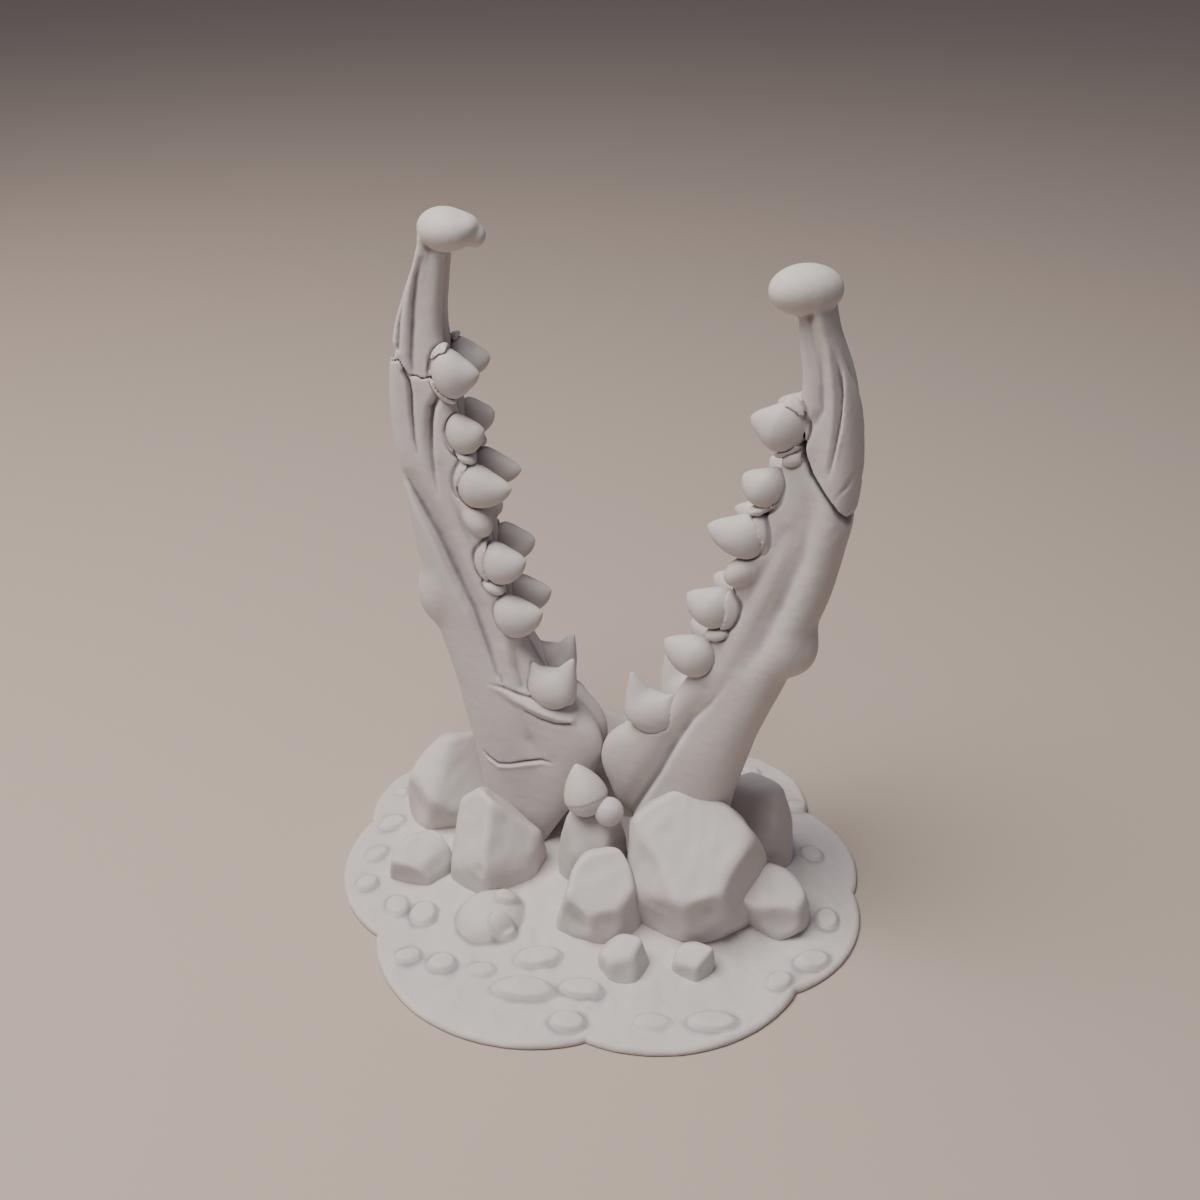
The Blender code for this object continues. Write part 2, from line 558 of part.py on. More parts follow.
def pebble(x, y, long_radius, short_radius, turn, height, grow=0.0):
    """A flat-topped dome set in the ground, its root sunk well below the skin."""
    long_radius, short_radius, height = long_radius + grow, short_radius + grow, height + grow
    share = math.hypot(x, y) / 78
    level = float(ground_height(x, y, share))
    angle = np.linspace(0, 2 * math.pi, PEBBLE_SIDES, endpoint=False)
    spin = math.radians(turn)
    rings = []
    for size, rise in ((1.0, -0.9), (1.0, 0.3 * height), (0.78, 0.85 * height)):
        px, py = long_radius * size * np.cos(angle), short_radius * size * np.sin(angle)
        rings.append(np.column_stack([
            x + px * math.cos(spin) - py * math.sin(spin),
            y + px * math.sin(spin) + py * math.cos(spin),
            np.full(PEBBLE_SIDES, level + rise),
        ]))
    points, faces = skin_rings(rings)
    points[-1] = (x, y, level + height)
    return add_object("pebble", points, faces)


def buried_boulder(grow=0.0):
    """The top of a boulder that shows through the ground, rounded off all round."""
    (x, y, z), radii = BURIED
    rx, ry, rz = (r + grow for r in radii)
    angle = np.linspace(0, 2 * math.pi, 12, endpoint=False)
    rings = []
    for tilt in (-6, 22, 48, 70):
        size, rise = math.cos(math.radians(tilt)), math.sin(math.radians(tilt))
        rings.append(np.column_stack([
            x + rx * size * np.cos(angle), y + ry * size * np.sin(angle), np.full(len(angle), z + rz * rise)
        ]))
    points, faces = skin_rings(rings)
    points[-1] = (x, y, z + rz)
    return add_object("buried", points, faces)


def make_ground():
    return united("ground", [ground_skin(0, 0), buried_boulder()] + [pebble(*row) for row in PEBBLES])


def rock_body(name, grow=0.0, bevelled=True):
    """A block trimmed by its facet planes. grow moves every plane out by some millimetres."""
    centre, radii, turn, bevel, facets = ROCKS[name]
    work = bmesh.new()
    bmesh.ops.create_cube(work, size=2)
    size = Vector(radii)
    for vert in work.verts:
        vert.co = Vector([math.copysign(r + grow, c) for r, c in zip(radii, vert.co)])
    for azimuth, elevation, distance in facets:
        a, e = math.radians(azimuth), math.radians(elevation)
        unit = Vector((math.cos(a) * math.cos(e), math.sin(a) * math.cos(e), math.sin(e)))
        point = Vector([unit[i] * size[i] * distance for i in range(3)])
        normal = Vector([unit[i] / size[i] for i in range(3)]).normalized()
        cut = bmesh.ops.bisect_plane(
            work, geom=work.verts[:] + work.edges[:] + work.faces[:],
            plane_co=point + normal * grow, plane_no=normal, clear_outer=True,
        )
        edges = [g for g in cut["geom_cut"] if isinstance(g, bmesh.types.BMEdge)]
        bmesh.ops.contextual_create(work, geom=edges)
    bmesh.ops.remove_doubles(work, verts=work.verts, dist=0.25)
    if bevelled:
        bmesh.ops.bevel(
            work, geom=work.edges[:], offset=bevel, offset_type="OFFSET",
            segments=1, profile=0.5, affect="EDGES", clamp_overlap=True,
        )
        bmesh.ops.remove_doubles(work, verts=work.verts, dist=0.12)
    bmesh.ops.triangulate(work, faces=[f for f in work.faces if len(f.verts) > 4])
    bmesh.ops.recalc_face_normals(work, faces=work.faces)
    matrix = Matrix.Translation(centre) @ Matrix.Rotation(math.radians(turn), 4, "Z")
    points = [tuple(matrix @ v.co) for v in work.verts]
    work.verts.index_update()
    faces = [tuple(v.index for v in f.verts) for f in work.faces]
    work.free()
    return add_object(name, points, faces)


def near_boxes(first, second):
    """Whether two objects' boxes meet."""
    low_a, high_a = box_of(first)
    low_b, high_b = box_of(second)
    return bool(np.all(low_a <= high_b) and np.all(low_b <= high_a))


def box_of(obj):
    co = np.array([obj.matrix_world @ v.co for v in obj.data.vertices])
    return co.min(0), co.max(0)


def make_rocks():
    """All boulders and stones, each cut clear of the ground, the jaws and the boulders made before it."""
    made, names = [], list(ROCKS)
    clear = GAP / MM
    for k, name in enumerate(names):
        rock = rock_body(name)
        cutters = [jaw_cutter(side) for side in (-1, 1)]
        cutters += [rock_body(other, grow=clear, bevelled=False) for other in names[:k]]
        cutters += [pebble(*row, grow=clear) for row in PEBBLES] + [buried_boulder(grow=1.3 * clear)]
        touching = [cutter for cutter in cutters if near_boxes(rock, cutter)]
        for cutter in cutters:
            if cutter not in touching:
                bpy.data.objects.remove(cutter, do_unlink=True)
        cut_from(rock, [ground_cutter(), *touching])
        made.append(rock)
    return made


def make_pointed_stone():
    """The pointed stone that leans on the stone under the chins."""
    start, tip = Vector(POINTED_STONE[0]), Vector(POINTED_STONE[1])
    radius = POINTED_STONE[2]
    axis = tip - start
    stone = spun_form(
        start, axis, Vector((0, 1, 0)), drop_profile(radius, axis.length), POINTED_STONE_SIDES, 0.9
    )
    stone.name = "pointed_stone"
    clear = GAP / MM
    cutters = [rock_body(n, grow=clear, bevelled=False) for n in ("stone_under_chins", "stone_ball")]
    cutters += [jaw_cutter(side) for side in (-1, 1)]
    cut_from(stone, cutters)
    return stone


def main():
    clear_scene()
    parts = [make_ground()]
    parts += make_jaw("left") + make_jaw("right")
    parts += make_rocks()
    parts.append(make_pointed_stone())
    material = resin()
    for obj in parts:
        obj.data.materials.clear()
        obj.data.materials.append(material)
        obj.data.shade_smooth()
        obj.data.set_sharp_from_angle(angle=math.radians(32))


main()
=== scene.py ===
"""Looks of the jawbone statuette: bones, teeth, boulders and ground in one pale matt casting resin.

Each form is worked out in millimetres as a distance field or a lathed skin and then meshed in metres.
The jaws mirror each other across the plane X = 0. A jaw's own space is u outwards from that plane, v the
depth behind its middle sheet and z the height.
"""

import math

import bpy
import numpy as np
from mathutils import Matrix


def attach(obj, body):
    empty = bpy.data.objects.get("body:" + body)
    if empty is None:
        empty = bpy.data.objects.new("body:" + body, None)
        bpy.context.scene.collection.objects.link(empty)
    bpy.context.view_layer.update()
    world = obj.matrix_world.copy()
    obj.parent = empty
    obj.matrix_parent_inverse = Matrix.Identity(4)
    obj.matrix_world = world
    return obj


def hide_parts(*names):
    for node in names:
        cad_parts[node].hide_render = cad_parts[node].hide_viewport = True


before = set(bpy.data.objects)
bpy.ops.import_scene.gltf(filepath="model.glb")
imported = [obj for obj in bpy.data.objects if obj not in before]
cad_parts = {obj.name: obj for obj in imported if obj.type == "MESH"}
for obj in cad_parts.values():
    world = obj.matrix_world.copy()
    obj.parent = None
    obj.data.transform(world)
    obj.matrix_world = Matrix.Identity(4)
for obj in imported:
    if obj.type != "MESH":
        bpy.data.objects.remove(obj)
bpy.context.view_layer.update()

MM = 0.001

# Ground slab: each lobe of the rim is its first cusp's angle and radius, and its bulge.
RIM_LOBES = (
    (13, 75.3, 3.6), (44, 69.8, 5.0), (74, 72.0, 4.5), (103, 70.0, 5.5), (133, 72.5, 5.5),
    (163, 77.0, 2.6), (187, 73.0, 4.4), (229, 69.4, 7.8), (290, 70.4, 5.8), (338, 74.7, 4.2),
)
RIM_SIDES = 760
RIM_HEIGHT = 1.8
# Below the rim's top edge: share of its height, and share of its radius.
RIM_PROFILE = ((0.75, 1.002), (0.5, 1.003), (0.22, 1.002), (0.06, 0.999), (0.0, 0.994))
# Where the rim's rounding starts, as a share of the radius, and how much of the height it takes off.
RIM_ROUNDING_FROM = 0.984
RIM_ROUNDING = 0.32
# Rings of the ground's skin, as shares of the radius: first, last and how many, up to the rim and on it.
GROUND_RINGS = (0.02, 0.985, 205)
RIM_RINGS = (0.988, 1.0, 5)
MOUND_HEIGHT = 5.4
MOUND_CENTRE = (-2.0, 4.0)
MOUND_REACH = 66.0
# The mound falls to the rim's height over this share of the radius.
MOUND_FADE = 0.1
# Unevenness of the ground: height, wavelength and seed.
GROUND_WAVES = ((0.45, 17.0, 3), (0.2, 6.0, 4))
# A boulder sunk in the ground: centre and radii.
BURIED = ((-18.8, -35.2, 2.0), (9.8, 11.2, 7.4))

# Pebbles half sunk in the ground: x, y, long radius, short radius, turn in degrees, height.
PEBBLES = (
    (-72.0, 8.0, 2.2, 1.8, 0, 1.0), (-67.0, -7.0, 4.2, 3.0, 60, 1.3), (-64.0, -21.5, 3.6, 2.8, 70, 1.1),
    (-59.5, -35.0, 3.4, 2.8, 50, 1.4), (-46.5, -40.0, 4.2, 3.2, -50, 1.3), (-37.5, -41.0, 4.8, 3.9, -60, 1.7),
    (-33.5, -57.0, 3.8, 2.7, 40, 1.3), (-23.5, -56.0, 4.0, 3.3, 10, 1.7), (-12.5, -54.0, 3.8, 2.4, 20, 0.9),
    (0.5, -45.0, 6.3, 3.4, 28, 1.7), (1.5, -56.5, 8.2, 3.7, 16, 1.7), (15.8, -50.5, 5.8, 3.2, 12, 1.6),
    (17.0, -62.5, 4.7, 3.6, 15, 1.7), (37.5, -53.5, 4.6, 2.6, 20, 0.8), (52.0, -47.5, 6.4, 3.4, 22, 1.5),
    (63.8, -26.8, 3.8, 3.0, 60, 1.3), (69.8, -15.6, 5.0, 3.4, 40, 1.6), (69.0, 2.4, 4.2, 3.2, -70, 1.5),
    (57.0, 29.0, 3.6, 2.9, -30, 1.2), (46.0, 50.0, 3.4, 2.6, 20, 1.2), (8.0, 66.5, 4.4, 3.2, 10, 1.4),
    (-11.0, 62.0, 3.6, 2.8, 60, 1.2), (-57.0, 35.0, 4.4, 3.2, -40, 1.4), (-44.0, 55.0, 3.8, 3.0, 20, 1.3),
    (27.0, 62.5, 3.0, 2.3, -30, 1.0), (-68.5, 22.5, 3.0, 2.4, 30, 1.1),
    (-15.9, -30.7, 3.3, 2.9, 20, 1.6), (-12.6, -40.4, 3.9, 3.2, 10, 2.0),
)

# Jaw sections: height, inner edge u, outer edge u and half thickness.
JAW_STATIONS = (
    (-3, 22.0, 36.5, 10.0), (8, 17.5, 37.0, 10.0), (20, 10.6, 38.2, 10.4), (32, 4.3, 40.2, 10.8),
    (43, 0.7, 42.8, 11.0), (50, 3.4, 44.6, 10.8), (56, 10.5, 46.0, 10.4), (63, 18.5, 48.2, 10.0),
    (72, 24.6, 51.2, 9.6), (84, 30.0, 54.6, 9.3), (97, 34.3, 58.0, 9.2), (113, 38.8, 61.4, 9.0),
    (127, 43.4, 64.4, 8.8), (140, 46.8, 65.5, 8.3), (150, 49.2, 64.6, 7.7), (160, 49.8, 62.4, 7.0),
    (170, 48.7, 58.8, 6.4), (176, 48.0, 56.2, 6.2), (182, 47.8, 54.2, 6.0),
)
# How far a jaw's outer edge stands out from those: height, left jaw, right jaw.
OUTER_EDGE_OUT = (
    (-3, 1.4, -1.2), (50, 1.4, -1.8), (78, 1.4, -0.6), (104, 1.4, 1.8), (126, 1.4, 0.8), (150, 1.4, -0.3),
    (168, 1.4, -0.2), (190, 1.4, 1.2),
)
# The outer edge lies this far in front of the middle sheet.
OUTER_EDGE_V = -4.0
# Height, and how far back the middle sheet stands there.
JAW_LEAN = (
    (-3, 6.2), (40, 6.6), (72, 7.6), (84, 8.0), (99, 9.5), (119, 11.0), (134, 12.4), (149, 13.0), (190, 12.8),
)
JAW_TOE = math.radians(14)
# The right jaw is shorter, over these heights.
RIGHT_SHORTER = 3.6
SHORTENED_FROM, SHORTENED_BY = 150.0, 182.0
INNER_SQUARENESS = 3.4
OUTER_SQUARENESS = 2.3
# Valley between the two rows of teeth.
VALLEY_DEPTH = 1.8
VALLEY_HALF_ANGLE = math.radians(16)
# Grid of a jaw's field: step, lowest and highest z, reach in s (across) and v, and where the bare bone ends.
BONE_STEP = 0.36
BONE_LOW, BONE_HIGH = 1.0, 192.5
BONE_REACH_S, BONE_REACH_V = 24.0, 15.5
BONE_TOP = 184.0

# Teeth: base centre (u, height), tip (u, height), base radius.
TOOTH_ROW_V = 6.5
TOOTH_FLATNESS = 0.8
TEETH = (
    ((47.4, 148.3), (38.9, 149.8), 6.7),
    ((44.5, 131.8), (38.0, 134.3), 5.5),
    ((40.6, 117.8), (29.5, 119.1), 6.2),
    ((33.4, 96.2), (25.1, 98.8), 6.0),
    ((29.3, 81.0), (19.7, 84.3), 6.3),
)
# A tooth thicker than this is the most pointed one of its row.
POINTED_ABOVE = 6.4
# Share of its radius that each tooth of the far row has.
FAR_ROW_SHARE = (0.84, 0.96, 0.88, 0.94, 0.95)
TOOTH_SIDES = 56
TOOTH_RINGS = 44
# Creases round the teeth, round the collars, round the lumps of gum and round the lowest of those.
TOOTH_CREASE, COLLAR_CREASE, GUM_CREASE, TOP_GUM_CREASE = 0.46, 0.42, 0.36, 0.3
# Collars behind the teeth: tooth, shift outwards and up, and how far the collar stands out round it.
COLLARS = (
    (0, 0.1, 0.8, 0.9), (0, 0.4, -1.0, 0.8), (1, 0.4, -1.0, 0.7), (2, 1.6, 0.9, 0.5), (3, 2.2, 0.2, 0.7),
)
COLLAR_FLATNESS = 0.62
# The two-pointed front tooth: body centre (u, height) and radius, how much further out the far one is, and
# each point's base, tip and radius.
MOLAR_BODY = ((17.2, 60.2), 6.6)
MOLAR_FAR_OUT = 2.4
MOLAR_CUSPS = (((14.0, 61.0), (10.2, 71.6), 4.5), ((20.2, 61.2), (22.8, 67.6), 3.9))
MOLAR_MIDDLE = (17.0, 62.5)
# Box (u, height) in which it is meshed, its half depth and step.
MOLAR_BOX = ((7, 52), (28, 73), 7.5)
MOLAR_STEP = 0.28
# Knobs and knuckles in a jaw's own space: centre and radii.
CONDYLE_LOBES = {
    "left": (((48.0, -2.4, 185.7), (8.0, 7.8, 5.5)), ((42.3, -1.2, 187.0), (3.5, 4.6, 2.6)),
             ((40.8, 0.0, 184.4), (3.6, 3.9, 3.2))),
    "right": (((48.6, -2.4, 185.3), (8.2, 8.2, 6.1)), ((45.5, 4.0, 183.0), (5.0, 4.8, 4.6))),
}
LOBE_FILLETS = (1.2, 2.0, 1.0)
KNUCKLES = {"left": ((53.6, -3.0, 82.0), (6.0, 6.4, 8.8)), "right": ((53.8, -3.0, 87.0), (5.5, 5.6, 7.2))}
KNUCKLE_FILLET = 4.0
# Chip in the left jaw's outer edge: centre, radii, tilt and fillet.
EDGE_CHIP = ((65.2, -4.0, 152.2), (2.3, 5.0, 2.6), 15, 0.6)

# Lumps of gum: (u, height), radii along u, v and z, tilt in degrees. The largest one blends into the bone.
GUM_LUMPS = (
    ((39.8, 107.9), (5.2, 4.2, 3.7), 42), ((34.8, 89.2), (3.8, 3.1, 2.2), 15),
    ((43.6, 126.0), (3.7, 3.3, 1.7), 25),
)
BLENDED_ABOVE = 5
# The lump under the right jaw's top tooth: centre, radii and tilt.
TOP_GUM = ((50.9, -6.0, 140.6), (3.6, 3.4, 2.7), 30)

# Relief on a jaw's faces. Each line is points of (u, height, depth) with the half widths on its inner
# and outer side. A depth below 0 stands proud.
RELIEF = {
    "both": (
        (((50.7, 121.5, 0.5), (47.1, 113.5, 0.8), (44.1, 105.2, 0.8), (39.2, 95.5, 0.8), (36.0, 85.6, 0.8),
          (32.4, 74.0, 0.5)), 2.0, 2.4),
    ),
    "left": (
        (((57.1, 179.6, 0.0), (59.4, 173.1, 0.4), (60.9, 166.7, 0.8), (62.1, 159.4, 0.9), (62.7, 153.5, 0.8)),
         0.7, 0.7),
        (((54.4, 178.2, 0.4), (56.1, 173.2, 0.9), (57.6, 166.0, 1.1), (58.4, 158.8, 1.1), (59.0, 151.5, 0.9),
          (58.8, 146.8, 0.5)), 1.1, 0.8),
        (((48.6, 177.8, 0.3), (49.2, 171.9, 0.5), (50.0, 164.8, 0.5), (50.2, 158.0, 0.2)), 1.0, 1.4),
        (((61.3, 147.4, 1.2), (60.0, 144.5, 2.0), (59.5, 141.2, 2.2), (59.3, 135.7, 1.7), (58.5, 128.9, 0.8),
          (57.0, 123.0, 0.0)), 0.75, 0.6),
        (((51.5, 140.7, 1.6), (53.0, 137.9, 2.8), (53.7, 133.6, 3.0), (53.7, 129.5, 2.7), (53.4, 125.3, 1.7),
          (52.5, 119.0, 0.7), (51.0, 112.0, 0.0)), 0.8, 1.4),
        (((62.3, 120.0, 0.2), (60.5, 116.6, 1.2), (57.0, 110.4, 2.4), (51.8, 101.7, 3.0), (46.3, 90.9, 3.4),
          (40.7, 81.0, 3.0), (36.5, 71.0, 2.0), (33.2, 63.0, 0.8)), 3.8, 1.3),
        (((29.0, 74.5, 0.3), (28.0, 71.6, 1.0), (27.4, 66.0, 1.2), (25.6, 61.0, 1.2), (21.5, 59.2, 0.8),
          (17.0, 58.6, 0.3)), 3.4, 1.7),
        (((36.8, 59.3, 0.0), (32.4, 58.3, -0.5), (27.7, 56.5, -0.9), (23.0, 55.2, -1.2), (18.4, 54.3, -1.4),
          (14.0, 53.6, -1.4), (10.4, 53.3, -1.2)), 1.3, 1.3),
        (((36.8, 59.6, 0.0), (32.4, 59.3, 0.6), (27.7, 58.3, 0.9), (23.0, 57.5, 0.9), (18.4, 57.2, 0.8),
          (14.0, 55.9, 0.7)), 0.5, 0.5),
        (((25.5, 53.6, 0.0), (23.9, 53.0, 0.5), (19.8, 51.7, 0.8), (15.2, 51.2, 0.8), (10.8, 51.8, 0.7)),
         0.5, 0.5),
        (((26.1, 51.8, 0.2), (23.0, 44.3, 0.9), (18.3, 38.6, 0.5)), 3.2, 3.2),
        (((38.6, 36.2, 0.0), (36.6, 34.6, 0.9), (33.5, 33.3, 0.8), (29.5, 34.3, 0.7), (24.7, 36.2, 1.1),
          (19.9, 37.8, 0.9), (15.1, 38.0, 0.0)), 0.45, 0.45),
        (((38.4, 35.2, 0.0), (36.2, 33.6, -0.4), (33.3, 32.2, -0.4), (29.5, 33.2, -0.3), (24.7, 35.1, -0.4),
          (19.9, 36.7, -0.3), (15.1, 37.0, 0.0)), 0.7, 0.7),
    ),
    "right": (
        (((52.8, 145.6, 0.2), (53.7, 141.8, 0.5), (56.0, 137.4, 0.7), (59.1, 133.8, 0.9), (62.0, 130.4, 1.2),
          (64.7, 126.2, 1.4), (66.4, 122.6, 1.4)), 1.5, 0.3),
        (((54.6, 175.9, 0.1), (55.5, 168.9, 0.3), (56.0, 159.9, 0.45), (56.5, 154.4, 0.6), (54.9, 150.2, 0.8),
          (53.8, 146.2, 0.5)), 1.2, 1.3),
        (((57.2, 177.1, 0.4), (58.4, 171.2, 0.9), (59.7, 164.1, 1.4), (60.6, 158.3, 1.7), (61.0, 153.6, 1.8),
          (61.1, 150.1, 1.6), (61.0, 145.0, 1.1), (60.7, 140.6, 0.7), (60.5, 137.5, 0.1)), 0.6, 0.75),
        (((62.6, 150.8, 0.0), (62.4, 147.2, -0.3), (62.0, 142.9, -0.3), (61.3, 138.4, 0.0)), 0.45, 0.4),
        (((66.8, 147.0, 0.3), (66.4, 143.4, 0.45), (65.8, 139.0, 0.45), (64.4, 135.3, 0.45),
          (62.8, 132.6, 0.1)), 0.3, 0.45),
        (((57.3, 130.2, 0.5), (55.1, 115.2, 1.5), (50.6, 100.4, 1.8), (46.3, 88.1, 1.3), (42.0, 79.0, 0.2)),
         3.0, 3.0),
        (((39.5, 78.0, 0.1), (34.5, 69.0, 0.9), (29.8, 62.8, 1.6), (25.3, 53.8, 2.3), (20.9, 42.9, 2.5),
          (15.8, 32.6, 2.3), (11.8, 24.0, 2.0)), 3.4, 1.3),
    ),
}

# Painted shade inside an open break: how much darker it is than the surface round it.
CRACK_PAINTED_SHADE = 0.8
# Open breaks: points (u, height), half width and depth.
BREAKS = {
    "left": (
        (((66.8, 148.6), (64.9, 149.6), (62.4, 150.5), (61.0, 147.7), (59.6, 146.2), (57.5, 146.6),
          (56.1, 146.0), (53.4, 146.6), (51.5, 146.4)), 0.16, 1.3),
    ),
    "right": (
        (((52.0, 147.4), (52.8, 145.6), (53.7, 141.8), (56.0, 137.4), (59.1, 133.8), (62.0, 130.4),
          (64.7, 126.2), (66.6, 122.2)), 0.7, 5.0),
    ),
}

# Facets on the far side that many rocks share.
FAR_FACETS = ((62, 12, 0.90), (113, 10, 0.88), (164, 12, 0.90))
# Rocks: centre, radii, turn in degrees, edge rounding, and facets as (azimuth, elevation, distance)
# where the distance is a share of the radii. Without facets it is a round stone.
ROCKS = {
    "boulder_front_right": ((30.6, -8.6, 16.2), (20.6, 21.5, 26.4), 0, 2.2, (
        (-67, 60, 0.63), (-116, 20, 0.77), (-101, -17, 0.80), (-58, -6, 0.90), (-17, 10, 0.87),
        (-36, -26, 0.92), (-74, -40, 0.88), (-157, 2, 0.83), (171, 50, 0.97), (156, 58, 0.95),
        (70, 58, 0.90), (44, 38, 0.94)) + FAR_FACETS),
    "boulder_front_left": ((-28.0, -16.0, 13.0), (14.4, 14.6, 18.4), 0, 1.8, (
        (-123, 36, 0.62), (-35, 38, 0.72), (-105, -2, 0.82), (-41, -2, 0.88), (-160, 7, 0.76),
        (158, 58, 0.96), (57, 51, 0.73)) + FAR_FACETS),
    "boulder_back_left": ((-52.6, 5.4, 13.8), (15.0, 14.0, 17.0), 12, 2.2, (
        (-116, 54, 0.76), (-134, 0, 0.86), (-44, 37, 0.60), (-72, -24, 0.90), (-162, -15, 0.99),
        (-175, 10, 0.87), (172, 33, 0.78), (157, 50, 0.86), (111, 65, 0.95)) + FAR_FACETS),
    "boulder_back_right": ((42.6, 21.8, 13.0), (10.8, 11.5, 17.2), -6, 1.8, (
        (-76, 14, 0.82), (-5, 12, 0.80), (-41, -8, 0.88), (82, 65, 0.96), (45, 33, 0.88),
        (38, 19, 0.87), (30, 0, 0.92)) + FAR_FACETS),
    "boulder_right": ((55.0, -3.4, 8.0), (10.2, 10.6, 12.4), 0, 1.8, (
        (-60, 64, 0.66), (-66, 8, 0.80), (-12, 8, 0.92), (-39, -34, 0.92), (-104, -20, 0.80),
        (84, 61, 0.88), (45, 37, 0.86), (31, 15, 0.90)) + FAR_FACETS),
    "boulder_front_middle": ((10.2, -25.6, 11.6), (12.4, 11.6, 15.8), 0, 1.6, (
        (-57, 60, 0.62), (-104, -2, 0.86), (-53, 4, 0.87), (-17, 6, 0.83), (-87, -27, 0.91),
        (-166, 18, 0.77), (179, 43, 0.90), (132, 66, 0.99), (29, 16, 0.91),
        (27, 12, 0.92)) + FAR_FACETS),
    "boulder_behind": ((-6.0, 29.0, 16.6), (12.4, 12.0, 21.8), 0, 2.2, (
        (-60, 64, 0.84), (-20, 30, 0.82), (-130, 40, 0.84), (40, 12, 0.84), (95, 24, 0.84), (150, 10, 0.84),
        (80, 62, 0.86), (-80, 6, 0.88), (-170, 30, 0.88))),
    "boulder_behind_right": ((22.0, 36.0, 9.5), (13.0, 11.5, 13.5), 20, 1.8, (
        (-40, 52, 0.84), (20, 20, 0.84), (80, 18, 0.84), (140, 34, 0.86), (-100, 24, 0.88), (70, 66, 0.86),
        (-10, -10, 0.88), (170, 8, 0.86))),
    "boulder_behind_left": ((-34.0, 33.5, 8.5), (12.5, 11.5, 12.0), -15, 1.8, (
        (-60, 58, 0.86), (10, 24, 0.86), (75, 22, 0.84), (130, 30, 0.84), (-160, 16, 0.84), (100, 66, 0.86),
        (-110, 10, 0.88), (45, -12, 0.9))),
    "stone_left": ((-47.4, -24.4, 6.0), (9.2, 9.0, 9.6), 0, 1.4, (
        (-65, 64, 0.70), (-34, 28, 0.74), (-88, -12, 0.72), (-26, -10, 0.89), (-164, 11, 0.89),
        (172, 44, 0.92), (136, 60, 0.95)) + FAR_FACETS),
    "stone_front_middle": ((21.9, -38.2, 4.9), (7.4, 7.0, 8.2), 0, 1.3, (
        (-91, 72, 0.70), (-65, 20, 0.80), (-122, 2, 0.80), (-11, 18, 0.87), (-162, 7, 0.81),
        (171, 47, 0.72), (109, 64, 0.89)) + FAR_FACETS),
    "stone_front_right": ((40.2, -31.0, 4.2), (5.9, 5.8, 6.8), 0, 1.2, (
        (-104, 62, 0.70), (-31, 6, 0.84), (-98, 0, 0.76), (-167, 19, 0.89), (162, 54, 0.91),
        (108, 64, 0.86)) + FAR_FACETS),
    "stone_under_chins": ((2.0, -11.2, 17.0), (10.2, 7.8, 14.6), 0, 1.6, (
        (-90, 80, 0.96), (-85, 44, 0.84), (-134, 6, 0.84), (-70, 0, 0.86), (-14, 16, 0.88), (-96, -28, 0.86),
        (170, 24, 0.88), (-40, -20, 0.88), (150, -10, 0.9), (60, 10, 0.9))),
    "stone_ball": ((8.2, -13.2, 33.6), (4.1, 4.1, 4.2), 0, 0, ()),
}
POINTED_STONE = ((1.0, -12.4, 35.8), (-3.0, -10.8, 45.4), 6.0)
POINTED_STONE_STEP = 0.34
# Rocks with all radii below this are meshed at the fine step.
SMALL_ROCK, FINE_ROCK_STEP, ROCK_STEP = 12, 0.34, 0.5
# Unevenness of their facets: height and wavelength.
ROCK_WAVES = (0.14, 7.0)
# Round scoops in the boulders' facets: where, facing which way, half width and depth.
SCOOPS = {
    "boulder_front_right": (
        ((23.4, -21.8, 25.7), (-0.44, -0.86, 0.28), 6.4, 1.3),
        ((42.2, -24.1, 17.1), (0.54, -0.83, -0.08), 6.8, 1.1),
        ((48.6, -11.7, 19.5), (0.95, -0.28, 0.14), 8.5, 0.9),
        ((29.4, -26.4, 14.9), (-0.19, -0.95, -0.24), 9.0, 0.8)),
    "boulder_front_middle": (
        ((7.6, -35.3, 11.4), (-0.23, -0.97, -0.03), 5.0, 1.2),
        ((16.3, -33.9, 13.3), (0.58, -0.82, 0.05), 5.4, 1.1)),
    "boulder_right": (((58.1, -11.1, 9.8), (0.42, -0.9, 0.12), 6.2, 1.0),),
    "boulder_front_left": (((-25.6, -29.1, 13.9), (-0.26, -0.96, -0.03), 2.2, 0.7),),
    "stone_left": (((-43.7, -31.2, 7.5), (0.03, -0.98, -0.2), 6.0, 0.6),),
    "boulder_back_left": (((-57.1, -6.4, 11.8), (-0.5, -0.87, 0.0), 7.0, 0.8),),
}

# Smoothing rounds, their share, and the depth in millimetres that counts as fully hollow for the painted
# shade, near and wide.
NEAR_HOLLOWS = (6, 0.6, 0.26)
WIDE_HOLLOWS = (22, 0.9, 0.5)
# Wavelengths, seeds and shares of the faint unevenness of every surface, and its height on most pieces, on
# the teeth and on the ground.
UNEVENNESS = ((4.0, 11, 1.0), (1.8, 12, 0.5))
ROUGH, TOOTH_ROUGH, GROUND_ROUGH = 0.022, 0.014, 0.04
# How strongly the painted shade in hollows, and the painted highlight on proud parts, is laid on the rocks
# and the ground.
ROCK_PAINTED_SHADING, GROUND_PAINTED_SHADING = 0.4, 0.35

# Resin: its two mottled tones, and the painted shading from a painted highlight on proud parts (0) through
# level (0.5) to painted shade in hollows (1).
RESIN_TONES = ((0.3, (0.545, 0.505, 0.485, 1)), (0.7, (0.585, 0.547, 0.527, 1)))
PAINTED_SHADE_AND_HIGHLIGHT_TONES = (
    (0.0, (1.12, 1.11, 1.10, 1)), (0.42, (1, 1, 1, 1)), (0.54, (1, 1, 1, 1)), (0.72, (0.62, 0.60, 0.65, 1)),
    (1.0, (0.30, 0.29, 0.33, 1)),
)
# Scale and detail of the mottling, and of the fine and broad grain with their bump strength and height.
MOTTLE = (45, 4)
GRAINS = (((900, 3), (0.3, 0.00012)), ((260, 2), (0.35, 0.0003)))
RESIN_ROUGHNESS = (0.58, 0.72)
RESIN_SPECULAR = 0.35

